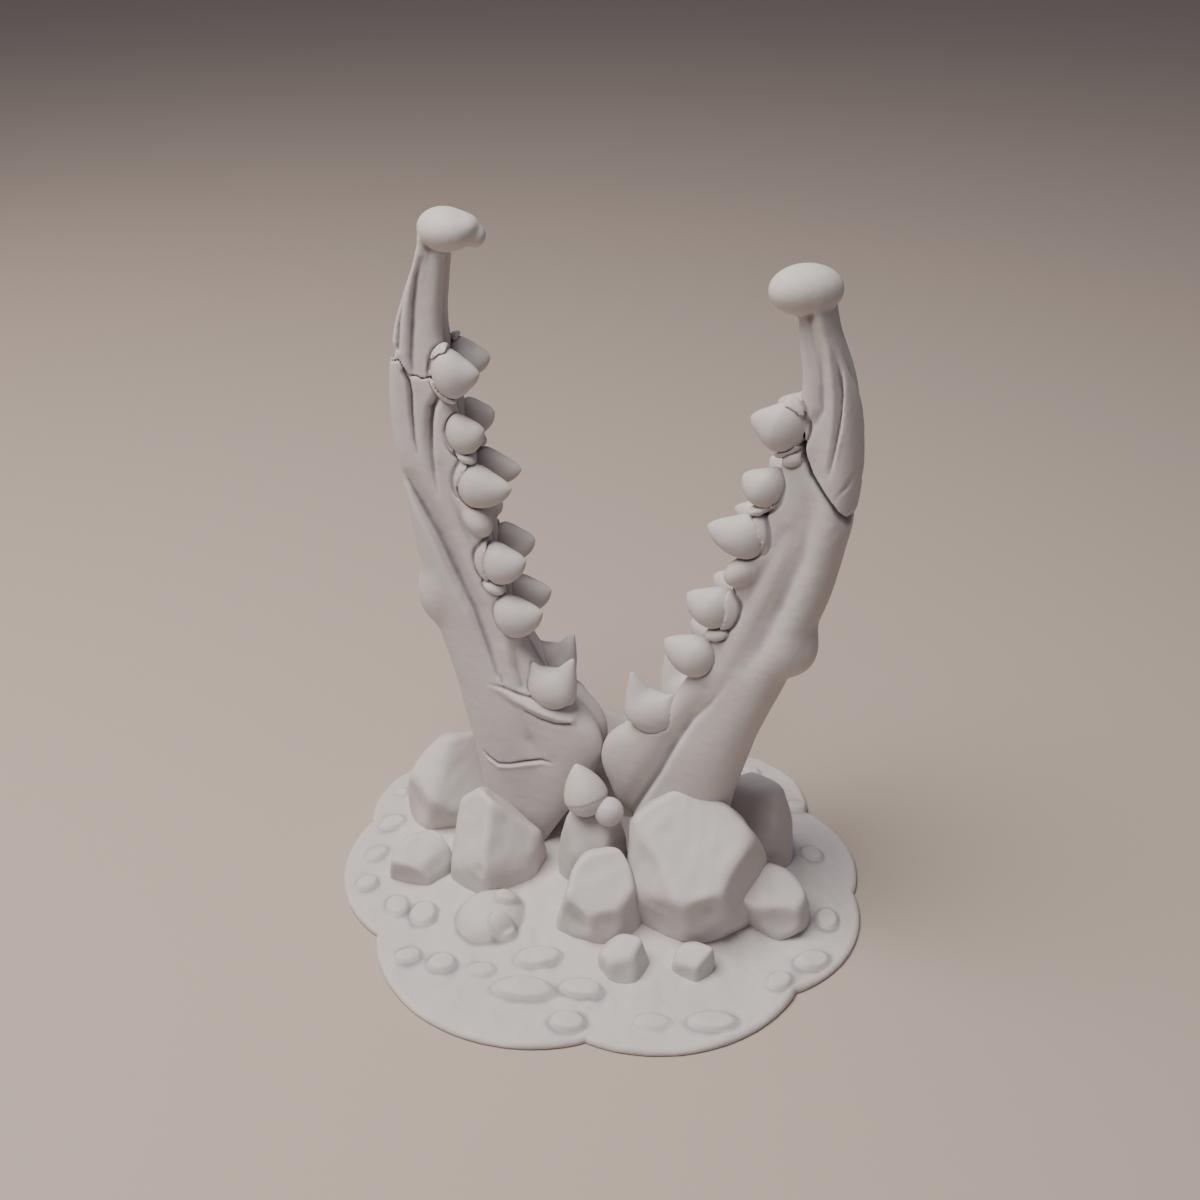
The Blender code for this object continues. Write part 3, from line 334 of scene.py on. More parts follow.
# Studio, in metres: camera, lights as name, place, size, power and colour, sky and floor.
LENS, SENSOR = 45, 36
CAMERA_PLACE = (0.1366, -0.3237, 0.2917)
CAMERA_ELEVATION, CAMERA_AZIMUTH = math.radians(29.5), math.radians(22.9)
LIGHTS = (
    ("key", (-0.27, -0.23, 0.94), 0.75, 14.5, (1.0, 0.955, 0.92)),
    ("left", (-0.85, 0.05, 0.12), 0.5, 0.9, (1.0, 0.55, 0.30)),
)
LIT_POINT = (0, 0, 0.07)
SKY_COLOUR, SKY_STRENGTH = (0.80, 0.80, 0.95, 1), 0.2
FLOOR_COLOUR, FLOOR_ROUGHNESS, FLOOR_REACH = (0.46, 0.38, 0.32, 1), 0.8, 3


def smooth_through(table, at, column):
    """Smooth curve through a table's column against its first column, by cubic Hermite pieces."""
    x = np.array([row[0] for row in table], float)
    y = np.array([row[column] for row in table], float)
    slopes = np.gradient(y, x)
    at = np.clip(np.asarray(at, float), x[0], x[-1])
    k = np.clip(np.searchsorted(x, at) - 1, 0, len(x) - 2)
    width = x[k + 1] - x[k]
    t = (at - x[k]) / width
    return (
        (2 * t**3 - 3 * t**2 + 1) * y[k]
        + (t**3 - 2 * t**2 + t) * width * slopes[k]
        + (3 * t**2 - 2 * t**3) * y[k + 1]
        + (t**3 - t**2) * width * slopes[k + 1]
    )


def smooth_min(a, b, k):
    """Union of two fields with a fillet about k wide."""
    h = np.clip(0.5 + 0.5 * (b - a) / k, 0, 1)
    return b * (1 - h) + a * h - k * h * (1 - h)


def smooth_max(a, b, k):
    """Intersection of two fields, rounded about k wide."""
    return -smooth_min(-a, -b, k)


def smooth_step(low, high, x):
    """0 at low, 1 at high, with a smooth rise between; high may be the smaller."""
    t = np.clip((x - low) / (high - low), 0, 1)
    return t * t * (3 - 2 * t)


def lump_noise(points, size, seed):
    """Soft noise between about -1 and 1 from a few sums of turned waves, size is its wavelength."""
    rng = np.random.default_rng(seed)
    total = 0.0
    for _ in range(7):
        way = rng.normal(size=3)
        way *= 2 * math.pi / (size * rng.uniform(0.75, 1.4) * np.linalg.norm(way))
        shift = rng.uniform(0, 2 * math.pi, 2)
        twist = rng.normal(size=3)
        twist *= 2 * math.pi / (size * 2.3 * np.linalg.norm(twist))
        bend = np.sin(sum(at * by for at, by in zip(points, twist)) + shift[1])
        total = total + np.sin(sum(at * by for at, by in zip(points, way)) + shift[0] + 1.3 * bend)
    return total / 3.4


CORNERS = np.array([(i, j, k) for i in (0, 1) for j in (0, 1) for k in (0, 1)])
EDGES = [(a, b) for a in range(8) for b in range(a + 1, 8) if np.abs(CORNERS[a] - CORNERS[b]).sum() == 1]


def skin_field(field, axes):
    """Points and quads of the closed skin round the field's negative part, one point in each crossed cell."""
    field = field.astype(np.float32)
    inside = field < 0
    count = np.zeros(tuple(n - 1 for n in field.shape), np.int8)
    for i, j, k in CORNERS:
        count += inside[i:i + count.shape[0], j:j + count.shape[1], k:k + count.shape[2]]
    cells = np.argwhere((count > 0) & (count < 8))
    values = np.stack([field[tuple((cells + c).T)] for c in CORNERS], axis=1)
    total = np.zeros((len(cells), 3))
    crossings = np.zeros(len(cells))
    for a, b in EDGES:
        fa, fb = values[:, a], values[:, b]
        crossed = (fa < 0) != (fb < 0)
        t = np.where(crossed, fa / np.where(crossed, fa - fb, 1), 0)
        total += np.where(crossed[:, None], CORNERS[a] + t[:, None] * (CORNERS[b] - CORNERS[a]), 0)
        crossings += crossed
    grid = cells + total / crossings[:, None]
    points = np.stack([axis[0] + grid[:, n] * (axis[1] - axis[0]) for n, axis in enumerate(axes)], axis=1)
    number = np.full(count.shape, -1, np.int64)
    number[tuple(cells.T)] = np.arange(len(cells))
    quads = []
    for n in range(3):
        p, q = [m for m in range(3) if m != n]
        low = [slice(1, -1)] * 3
        low[n] = slice(0, -1)
        high = [slice(1, -1)] * 3
        high[n] = slice(1, None)
        before, after = inside[tuple(low)], inside[tuple(high)]
        where = np.argwhere(before != after)
        start = np.array([0 if m == n else 1 for m in range(3)])
        where = where + start
        turned = inside[tuple(where.T)] == (n != 1)
        step_p, step_q = np.eye(3, dtype=int)[p], np.eye(3, dtype=int)[q]
        around = ((1, 1), (0, 1), (0, 0), (1, 0))
        ring = np.stack([number[tuple((where - a * step_p - b * step_q).T)] for a, b in around], axis=1)
        ring[~turned] = ring[~turned][:, ::-1]
        quads.append(ring)
    return points, np.concatenate(quads)


def relax(points, quads, rounds=2, share=0.5):
    """Moves each point part of the way to the middle of its neighbours."""
    a = quads.ravel()
    b = np.roll(quads, -1, axis=1).ravel()
    first, second = np.concatenate([a, b]), np.concatenate([b, a])
    degree = np.maximum(np.bincount(first, minlength=len(points)), 1)[:, None]
    for _ in range(rounds):
        sums = [np.bincount(first, weights=points[second, n], minlength=len(points)) for n in range(3)]
        total = np.stack(sums, axis=1)
        points = points + share * (total / degree - points)
    return points


def hollowness(points, quads, normals):
    """How far each point lies below (positive) or above its surroundings, near and wider ones together."""
    near = relax(points, quads, *NEAR_HOLLOWS[:2])
    wide = relax(near, quads, *WIDE_HOLLOWS[:2])
    depth = (near - points) / NEAR_HOLLOWS[2] + (wide - near) / WIDE_HOLLOWS[2]
    return np.einsum("ij,ij->i", depth, normals)


def add_piece(name, points, quads, replaced=(), caps=(), rough=ROUGH, painted_shading=1.0, painted_crack_shade=0.0):
    """A piece from points in millimetres, riding on the body, with its surface hollows and any painted crack
    shade as an attribute, for the painted shade and highlight in the material.
    """
    mesh = bpy.data.meshes.new(name)
    mesh.from_pydata((points * MM).tolist(), [], quads.tolist() + list(caps))
    mesh.shade_smooth()
    normals = np.empty(len(points) * 3, np.float32)
    mesh.vertex_normals.foreach_get("vector", normals)
    normals = normals.reshape(-1, 3)
    depth = hollowness(points, quads, normals)
    uneven = sum(share * lump_noise(tuple(points.T), size, seed) for size, seed, share in UNEVENNESS)
    used = np.zeros(len(points), bool)
    used[quads.ravel()] = True
    points = points + normals * (rough * uneven * used)[:, None]
    depth = np.where(used, depth, 0)
    mesh.vertices.foreach_set("co", (points * MM).astype(np.float32).ravel())
    mesh.update()
    # The hollow attribute holds painted shade for hollows and cracks, and a painted highlight for proud
    # parts.
    attribute = mesh.attributes.new("hollow", "FLOAT", "POINT")
    attribute.data.foreach_set("value", np.clip(painted_shading * depth + painted_crack_shade, -1, 1).astype(np.float32))
    obj = bpy.data.objects.new(name, mesh)
    bpy.context.scene.collection.objects.link(obj)
    mesh.materials.append(resin)
    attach(obj, "root")
    if replaced:
        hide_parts(*replaced)
    return obj


def jaw_to_world(points, side):
    """World millimetres from a jaw's own space."""
    u, v, z = points.T
    x = side * (u + v * math.sin(JAW_TOE))
    y = smooth_through(JAW_LEAN, z, 1) + v * math.cos(JAW_TOE)
    if side > 0:
        z = z - RIGHT_SHORTER * smooth_step(SHORTENED_FROM, SHORTENED_BY, z)
    return np.stack([x, y, z], axis=1)


def along_path(u, z, points):
    """Signed distance from a path in a jaw's face (positive on its outer side) and the path's value there."""
    best = np.full(u.shape, 1e9)
    signed = np.full(u.shape, 1e9)
    value = np.zeros(u.shape)
    for one, two in zip(points, points[1:]):
        du, dz = two[0] - one[0], two[1] - one[1]
        t = np.clip(((u - one[0]) * du + (z - one[1]) * dz) / (du * du + dz * dz), 0, 1)
        off_u, off_z = u - one[0] - t * du, z - one[1] - t * dz
        distance = np.hypot(off_u, off_z)
        nearer = distance < best
        side = np.sign(off_z * du - off_u * dz)
        best = np.where(nearer, distance, best)
        signed = np.where(nearer, distance * side, signed)
        if len(one) > 2:
            value = np.where(nearer, one[2] + t * (two[2] - one[2]), value)
    return signed, value


class JawField:
    """The distance field of one jaw's bone, sampled in columns that follow the bone."""

    def __init__(self, side):
        self.side = side
        self.cracks = []
        self.z = np.arange(BONE_LOW, BONE_HIGH, BONE_STEP)
        self.s = np.arange(-BONE_REACH_S, BONE_REACH_S + 0.01, BONE_STEP)
        self.v = np.arange(-BONE_REACH_V, BONE_REACH_V + 0.01, BONE_STEP)
        self.inner = smooth_through(JAW_STATIONS, self.z, 1)
        stands_out = smooth_through(OUTER_EDGE_OUT, self.z, 1 if side < 0 else 2)
        self.outer = smooth_through(JAW_STATIONS, self.z, 2) + stands_out
        self.thick = smooth_through(JAW_STATIONS, self.z, 3)
        self.centre = (self.inner + self.outer) / 2
        self.field = self.bare_bone()

    def bare_bone(self):
        """Level sections square on the toothed side and rounder outside, closed at the top by the knob."""
        half = ((self.outer - self.inner) / 2)[None, None, :]
        thick = self.thick[None, None, :]
        p = self.s[:, None, None] / half
        v = self.v[None, :, None] - OUTER_EDGE_V * np.clip(p, 0, 1) ** 1.5
        q = v / thick
        power = np.where(p < 0, INNER_SQUARENESS, OUTER_SQUARENESS)
        ap, aq = np.maximum(np.abs(p), 1e-4), np.maximum(np.abs(q), 1e-4)
        g = (ap**power + aq**power) ** (1 / power)
        slope = np.hypot((ap / g) ** (power - 1) / half, (aq / g) ** (power - 1) / thick)
        field = (g - 1) / slope
        turn = np.arctan2(aq, -p)
        field = field + VALLEY_DEPTH * np.exp(-((turn / VALLEY_HALF_ANGLE) ** 2)) * (g > 0.3)
        top = self.z[None, None, :] - BONE_TOP
        return smooth_max(field, np.broadcast_to(top, field.shape), 1.0).astype(np.float32)

    def window(self, centre, reach):
        """Slices of the grid round a point of the jaw's own space, and the coordinates in them."""
        u, v, z = centre
        k = slice(*np.searchsorted(self.z, (z - reach, z + reach)))
        j = slice(*np.searchsorted(self.v, (v - reach, v + reach)))
        shift = self.centre[k]
        i = slice(*np.searchsorted(self.s, (u - reach - shift.max(), u + reach - shift.min())))
        at = (i, j, k)
        return at, (
            self.s[i][:, None, None] + shift[None, None, :],
            self.v[j][None, :, None],
            self.z[k][None, None, :],
        )

    def join(self, centre, reach, shape, fillet):
        """Adds a shape with a fillet."""
        at, where = self.window(centre, reach)
        self.field[at] = smooth_min(self.field[at], shape(*where), fillet)

    def bead(self, centre, reach, shape, crease, solid=True):
        """Cuts a fine crease where a shape's surface meets the bone's, and adds the shape if it is solid."""
        at, where = self.window(centre, reach)
        bone, other = self.field[at], shape(*where)
        groove = np.hypot(bone, other) - crease
        if solid:
            bone = smooth_min(bone, other, 0.25)
        self.field[at] = smooth_max(bone, -groove, 0.2)

    def cut(self, centre, reach, shape, fillet):
        """Takes a shape away, with a rounded edge."""
        at, where = self.window(centre, reach)
        self.field[at] = smooth_max(self.field[at], -shape(*where), fillet)

    def carve(self, lines):
        """Grooves and ridges along both faces of the jaw."""
        u = self.s[:, None] + self.centre[None, :]
        z = np.broadcast_to(self.z[None, :], u.shape)
        depth = np.zeros(u.shape)
        for points, inner_width, outer_width in lines:
            signed, value = along_path(u, z, points)
            width = np.where(signed > 0, outer_width, inner_width)
            depth += value * np.exp(-((signed / width) ** 2))
        across = self.s[:, None, None] / ((self.outer - self.inner) / 2)[None, None, :]
        off = self.v[None, :, None] - OUTER_EDGE_V * np.clip(across, 0, 1) ** 1.5
        weight = smooth_step(0.04, 0.45, np.abs(off) / self.thick[None, None, :])
        self.field += (depth[:, None, :] * weight).astype(np.float32)

    def open_break(self, points, half_width, depth):
        """A crack of a given width that runs right round the jaw."""
        self.cracks.append((points, half_width))
        u = self.s[:, None] + self.centre[None, :]
        z = np.broadcast_to(self.z[None, :], u.shape)
        distance = np.abs(along_path(u, z, points)[0])[:, None, :] - half_width
        trench = np.maximum(distance, -(self.field + depth))
        self.field = smooth_max(self.field, -trench, 0.25).astype(np.float32)

    def mesh(self):
        """World points, quads, and the painted shade each point gets because it lies in a crack."""
        points, quads = skin_field(self.field, (self.s, self.v, self.z))
        points[:, 0] += np.interp(points[:, 2], self.z, self.centre)
        painted_crack_shade = np.zeros(len(points))
        for line, half_width in self.cracks:
            off = np.abs(along_path(points[:, 0], points[:, 2], line)[0])
            # Painted shade on the walls of each open break.
            painted_crack_shade = np.maximum(painted_crack_shade, CRACK_PAINTED_SHADE * smooth_step(0.4, 0.1, off - half_width))
        points = jaw_to_world(points, self.side)
        if self.side < 0:
            quads = quads[:, ::-1]
        return relax(points, quads), quads, painted_crack_shade


def ellipsoid(centre, radii, tilt=0.0):
    """Field of an ellipsoid turned about the v axis."""
    c, s = math.cos(math.radians(tilt)), math.sin(math.radians(tilt))

    def field(u, v, z):
        du, dv, dz = u - centre[0], v - centre[1], z - centre[2]
        a, b, d = (c * du + s * dz) / radii[0], dv / radii[1], (c * dz - s * du) / radii[2]
        k0 = np.sqrt(a * a + b * b + d * d)
        k1 = np.sqrt((a / radii[0]) ** 2 + (b / radii[1]) ** 2 + (d / radii[2]) ** 2)
        return k0 * (k0 - 1) / np.maximum(k1, 1e-6)

    return field


def half_ellipsoid(centre, radii, tilt, beyond):
    """The outward half of an ellipsoid, cut square to its tilted axis a little beyond its middle."""
    whole = ellipsoid(centre, radii, tilt)
    c, s = math.cos(math.radians(tilt)), math.sin(math.radians(tilt))

    def field(u, v, z):
        ahead = -(c * (u - centre[0]) + s * (z - centre[2])) - beyond
        return smooth_max(whole(u, v, z), ahead, 0.8)

    return field


def tooth_frame(base, tip):
    """Direction from a tooth's base to its tip, and its length."""
    axis = np.array([tip[0] - base[0], tip[1] - base[1]])
    length = float(np.hypot(*axis))
    return axis / length, length


def tooth_radius(share, radius, up):
    """Radius along a tooth from its base (0) to its tip (1), leaner on its upper flank (up = 1)."""
    lean = 1.6 - 0.15 * up if radius > POINTED_ABOVE else 1.95 - 0.5 * up
    return radius * (1 - np.clip(share, 0, 1) ** lean) + 0.75 * smooth_step(0.45, 1.0, share)


def tooth_sag(share):
    """How far a tooth's middle line hangs below its axis."""
    share = np.clip(share, 0, 1)
    return 0.4 * share**2 + 0.3 * share * (1 - share)


def tooth_field(base, tip, radius, v0):
    """Rough field of a tooth, for its socket."""
    axis, length = tooth_frame(base, tip)

    def field(u, v, z):
        du, dz = u - base[0], z - base[1]
        t = du * axis[0] + dz * axis[1]
        w = dz * axis[0] - du * axis[1] - tooth_sag(t / length)
        rho = np.hypot(w, (v - v0) / TOOTH_FLATNESS)
        ahead = (rho - tooth_radius(t / length, radius, -w / np.maximum(rho, 1e-3))) * 0.85
        behind = np.hypot(rho, t * 1.15) - radius
        return np.where(t > 0, ahead, behind)

    return field


def tooth_skin(base, tip, radius, v0, side, seed):
    """A smooth tooth with a rounded tip that turns up a little."""
    axis, length = tooth_frame(base, tip)
    rng = np.random.default_rng(seed)
    plump = 1 + rng.uniform(-0.015, 0.02)
    share = 1 - (1 - np.linspace(0, 1, TOOTH_RINGS)) ** 1.3
    back = -0.85 * radius * np.cos(np.linspace(0, math.pi / 2, 9)[1:-1])
    angle = np.linspace(0, 2 * math.pi, TOOTH_SIDES, endpoint=False)
    rings = [(t, radius * math.sqrt(1 - (t / (0.85 * radius)) ** 2)) for t in back]
    for k in share:
        tip_end = math.sqrt(max(0.0, 1 - k**16))
        rings.append((k * length, tooth_radius(k, radius, -np.cos(angle)) * tip_end))
    points = []
    for t, r in rings:
        w = plump * r * np.cos(angle) + tooth_sag(t / length)
        points.append(np.stack([
            base[0] + axis[0] * t - axis[1] * w,
            v0 + plump * TOOTH_FLATNESS * r * np.sin(angle),
            base[1] + axis[1] * t + axis[0] * w,
        ], axis=1))
    rows = len(points)
    points = np.concatenate(points)
    faces = []
    i = np.arange(TOOTH_SIDES)
    for row in range(rows - 1):
        low, high = row * TOOTH_SIDES, (row + 1) * TOOTH_SIDES
        j = (i + 1) % TOOTH_SIDES
        faces.append(np.stack([low + i, low + j, high + j, high + i], axis=1))
    faces = np.concatenate(faces)
    if side < 0:
        faces = faces[:, ::-1]
    return jaw_to_world(points, side), faces


def molar_field(out, v0):
    """A crown with a tall inner point and a lower outer one."""
    (bu, bz), radius = MOLAR_BODY
    body = ellipsoid((bu + out, v0, bz), (radius, radius * TOOTH_FLATNESS, radius * 0.94))

    def field(u, v, z):
        total = body(u, v, z)
        for base, tip, cusp_radius in MOLAR_CUSPS:
            axis, length = tooth_frame(base, tip)
            du, dz = u - base[0] - out, z - base[1]
            t = du * axis[0] + dz * axis[1]
            w = dz * axis[0] - du * axis[1]
            rho = np.hypot(w, (v - v0) / 0.9)
            cone = (rho - cusp_radius * (1 - np.clip(t / length, 0, 1) ** 1.3) - 0.35) * 0.85
            cone = smooth_max(cone, t - length, 0.8)
            cone = np.maximum(cone, -t - 2)
            total = smooth_min(total, cone, 1.6)
        return total

    return field


def sampled(field, low, high, step):
    """A field's values on a grid between two corners, and the grid's axes."""
    axes = [np.arange(a, b + step, step) for a, b in zip(low, high)]
    grid = np.meshgrid(*axes, indexing="ij", sparse=True)
    return field(*grid), axes


def gather(parts):
    """One set of points and faces from several."""
    points, faces, start = [], [], 0
    for p, f in parts:
        points.append(p)
        faces.append(f + start)
        start += len(p)
    return np.concatenate(points), np.concatenate(faces)


def row_radius(number, radius, v0):
    """Radius of a tooth in the near row (v0 below 0) or the far one."""
    return radius * (FAR_ROW_SHARE[number] if v0 > 0 else 1)


def add_gums(bone, v0):
    """Collars and lumps of gum along one row of teeth."""
    for number, out, up, spread in COLLARS:
        (u, z), (tip_u, tip_z), radius = TEETH[number]
        radius = row_radius(number, radius, v0)
        tilt = math.degrees(math.atan2(tip_z - z, tip_u - u)) - 180
        centre = (u + out, v0, z + up)
        radii = (0.85 * radius + spread, COLLAR_FLATNESS * radius, radius + spread)
        bone.bead(centre, 11, half_ellipsoid(centre, radii, tilt, 0.1 * radius), COLLAR_CREASE)
    for (u, z), radii, tilt in GUM_LUMPS:
        centre = (u, v0, z)
        lump = ellipsoid(centre, radii, tilt)
        if radii[0] > BLENDED_ABOVE:
            bone.join(centre, 8, lump, 1.0)
        else:
            bone.bead(centre, 7, lump, GUM_CREASE)


def molar_skin(field, out, v0, side):
    """The front tooth's own mesh."""
    (low_u, low_z), (high_u, high_z), deep = MOLAR_BOX
    low, high = (low_u + out, v0 - deep, low_z), (high_u + out, v0 + deep, high_z)
    points, quads = skin_field(*sampled(field, low, high, MOLAR_STEP))
    return relax(jaw_to_world(points, side), quads), quads[:, ::-1] if side < 0 else quads


def make_jaw(side_name):
    """One jawbone and its teeth."""
    side = 1 if side_name == "right" else -1
    bone = JawField(side)
    centre, radii = KNUCKLES[side_name]
    bone.join(centre, 14, ellipsoid(centre, radii), KNUCKLE_FILLET)
    for (centre, radii), fillet in zip(CONDYLE_LOBES[side_name], LOBE_FILLETS):
        bone.join(centre, 13, ellipsoid(centre, radii), fillet)
    bone.carve(RELIEF["both"] + RELIEF[side_name])
    if side < 0:
        centre, radii, tilt, fillet = EDGE_CHIP
        bone.cut(centre, 7, ellipsoid(centre, radii, tilt), fillet)
    for v0 in (-TOOTH_ROW_V, TOOTH_ROW_V):
        add_gums(bone, v0)
    if side > 0:
        centre, radii, tilt = TOP_GUM
        bone.bead(centre, 8, ellipsoid(centre, radii, tilt), TOP_GUM_CREASE)
    for points, half_width, depth in BREAKS[side_name]:
        bone.open_break(points, half_width, depth)
    parts = []
    for row, v0 in enumerate((-TOOTH_ROW_V, TOOTH_ROW_V)):
        for k, (base, tip, radius) in enumerate(TEETH):
            radius = row_radius(k, radius, v0)
            middle = ((base[0] + tip[0]) / 2, v0, (base[1] + tip[1]) / 2)
            bone.bead(middle, 14, tooth_field(base, tip, radius, v0), TOOTH_CREASE, solid=False)
            parts.append(tooth_skin(base, tip, radius, v0, side, 10 * k + row))
        out = MOLAR_FAR_OUT if v0 > 0 else 0.0
        field = molar_field(out, v0)
        bone.bead((MOLAR_MIDDLE[0] + out, v0, MOLAR_MIDDLE[1]), 13, field, TOOTH_CREASE, solid=False)
        parts.append(molar_skin(field, out, v0, side))
    nodes = [f"{side_name}_jaw_{part}" for part in ("chin", "body", "ramus", "condyle")]
    points, quads, painted_crack_shade = bone.mesh()
    add_piece(f"{side_name}_jawbone", points, quads, replaced=nodes, painted_crack_shade=painted_crack_shade)
    add_piece(f"{side_name}_teeth", *gather(parts), rough=TOOTH_ROUGH, painted_shading=0.0)


def rim_radius(angle):
    """Radius of the base's lobed rim at an angle in degrees."""
    angle = (angle - RIM_LOBES[0][0]) % 360 + RIM_LOBES[0][0]
    ends = RIM_LOBES[1:] + ((RIM_LOBES[0][0] + 360, *RIM_LOBES[0][1:]),)
    for (start, low, bulge), (end, high, _) in zip(RIM_LOBES, ends):
        if start <= angle <= end:
            share = (angle - start) / (end - start)
            return low + (high - low) * share + bulge * math.sin(math.pi * share) ** 0.8
    return RIM_LOBES[0][1]


def rim_outline(sides):
    """Points of the rim, with the middle of its box at the origin."""
    angles = np.linspace(0, 360, sides, endpoint=False)
    radii = np.array([rim_radius(a) for a in angles])
    points = np.stack([radii * np.cos(np.radians(angles)), radii * np.sin(np.radians(angles))], axis=-1)
    return points - (points.max(0) + points.min(0)) / 2


def ground_height(x, y, inset):
    """Height of the ground's skin, inset being the distance from the rim as a share of the radius."""
    far = np.hypot(x - MOUND_CENTRE[0], y - MOUND_CENTRE[1]) / MOUND_REACH
    rise = MOUND_HEIGHT * np.clip(1 - far**2, 0, 1) ** 1.3
    height = RIM_HEIGHT + rise * np.clip(inset / MOUND_FADE, 0, 1)
    for tall, size, seed in GROUND_WAVES:
        height = height + tall * lump_noise((x, y, np.zeros_like(x)), size, seed)
    (bx, by, bz), (rx, ry, rz) = BURIED
    flat = ((x - bx) / rx) ** 2 + ((y - by) / ry) ** 2
    dome = bz + rz * np.sqrt(np.clip(1 - flat**1.25, 0, 1)) - 0.4
    height = smooth_max(height, dome, 1.2)
    for px, py, long_radius, short_radius, turn, tall in PEBBLES:
        spin = math.radians(turn)
        a = ((x - px) * math.cos(spin) + (y - py) * math.sin(spin)) / (1.08 * long_radius)
        b = ((y - py) * math.cos(spin) - (x - px) * math.sin(spin)) / (1.08 * short_radius)
        flat = a * a + b * b
        pebble = 0.75 * (1 - smooth_step(0.45, 1.1, flat)) + 0.25 * np.clip(1 - flat, 0, 1)
        height = height + 1.2 * tall * pebble
    return height


def make_ground():
    """The ground as rings from its middle to a softly rounded rim and down to a flat underside."""
    outline = rim_outline(RIM_SIDES)
    shares = np.concatenate([np.linspace(*GROUND_RINGS), np.linspace(*RIM_RINGS)])
    flat = outline[None, :, :] * shares[:, None, None]
    inset = np.broadcast_to((1 - shares)[:, None], flat.shape[:2])
    height = ground_height(flat[..., 0], flat[..., 1], inset)
    edge = np.clip((shares - RIM_ROUNDING_FROM) / (1 - RIM_ROUNDING_FROM), 0, 1)[:, None]
    height = height * (1 - edge**2 * RIM_ROUNDING)
    rings = [np.column_stack([flat[k], height[k]]) for k in range(len(shares))]
    for drop, out in RIM_PROFILE:
        rings.append(np.column_stack([outline * out, height[-1] * drop]))
    points = np.concatenate(rings)
    i = np.arange(RIM_SIDES)
    j = (i + 1) % RIM_SIDES
    starts = [k * RIM_SIDES for k in range(len(rings))]
    bands = [np.stack([a + i, b + i, b + j, a + j], axis=1) for a, b in zip(starts, starts[1:])]
    top, bottom = len(points), len(points) + 1
    points = np.concatenate([points, [rings[0].mean(0)], [(0, 0, 0)]])
    last = starts[-1]
    caps = [(a, b, top) for a, b in zip(i.tolist(), j.tolist())]
    caps += [(last + b, last + a, bottom) for a, b in zip(i.tolist(), j.tolist())]
    add_piece(
        "ground_surface", points, np.concatenate(bands), replaced=["ground"], caps=caps,
        rough=GROUND_ROUGH, painted_shading=GROUND_PAINTED_SHADING,
    )


def rock_field(name):
    """A rock as a soft-edged stack of facets, some scooped a little hollow, or a round stone."""
    centre, radii, turn, rounding, facets = ROCKS[name]
    size = np.array(radii, float)
    c, s = math.cos(math.radians(turn)), math.sin(math.radians(turn))
    seed = sum(ord(letter) for letter in name)
    faces = facets + ((0, 0, 1), (90, 0, 1), (180, 0, 1), (-90, 0, 1), (0, 90, 1), (0, -90, 1))

    def field(x, y, z):
        dx, dy, dz = x - centre[0], y - centre[1], z - centre[2]
        dx, dy = c * dx + s * dy, c * dy - s * dx
        if not facets:
            far = np.sqrt((dx / size[0]) ** 2 + (dy / size[1]) ** 2 + (dz / size[2]) ** 2)
            return (far - 1) * size.min()
        total = -1e3
        for azimuth, elevation, distance in faces:
            a, e = math.radians(azimuth), math.radians(elevation)
            unit = np.array([math.cos(a) * math.cos(e), math.sin(a) * math.cos(e), math.sin(e)])
            normal = unit / size
            normal /= np.linalg.norm(normal)
            plane = dx * normal[0] + dy * normal[1] + dz * normal[2] - normal @ (unit * size * distance)
            total = smooth_max(total, plane, rounding)
        for at, normal, width, depth in SCOOPS.get(name, ()):
            ball = (width**2 + depth**2) / (2 * depth)
            middle = np.array(at) + np.array(normal) * (ball - depth)
            far = np.sqrt((x - middle[0]) ** 2 + (y - middle[1]) ** 2 + (z - middle[2]) ** 2)
            total = smooth_max(total, ball - far, 0.9)
        tall, wavelength = ROCK_WAVES
        return total + tall * lump_noise((dx, dy, dz), wavelength, seed) * (total > -2)

    return field


def make_rocks():
    """Every rock down to just above the rim's lower edge."""
    for name, (centre, radii, *_) in ROCKS.items():
        reach = max(radii[:2]) * 1.1
        low = (centre[0] - reach, centre[1] - reach, max(1.2, centre[2] - radii[2] - 1))
        high = (centre[0] + reach, centre[1] + reach, centre[2] + radii[2] + 1)
        step = FINE_ROCK_STEP if max(radii) < SMALL_ROCK else ROCK_STEP
        values, axes = sampled(rock_field(name), low, high, step)
        values[:, :, 0] = np.maximum(values[:, :, 0], 0.2)
        points, quads = skin_field(values, axes)
        add_piece(f"{name}_surface", relax(points, quads), quads, replaced=[name], painted_shading=ROCK_PAINTED_SHADING)


def make_pointed_stone():
    """A drop-shaped stone that leans up to the left."""
    start, tip = np.array(POINTED_STONE[0]), np.array(POINTED_STONE[1])
    radius = POINTED_STONE[2]
    axis = tip - start
    length = np.linalg.norm(axis)
    axis = axis / length

    def field(x, y, z):
        dx, dy, dz = x - start[0], y - start[1], z - start[2]
        t = dx * axis[0] + dy * axis[1] + dz * axis[2]
        rho = np.sqrt(np.maximum(dx * dx + dy * dy + dz * dz - t * t, 0))
        share = np.clip(t / length, 0, 1)
        ahead = (rho - radius * (1 - share**1.9) - 0.3) * 0.82
        behind = np.hypot(rho, t * 1.15) - radius
        return smooth_max(np.where(t > 0, ahead, behind), t - length, 0.8)

    low, high = np.minimum(start, tip) - 8, np.maximum(start, tip) + 8
    points, quads = skin_field(*sampled(field, low, high, POINTED_STONE_STEP))
    add_piece("pointed_stone_surface", relax(points, quads), quads, replaced=["pointed_stone"])


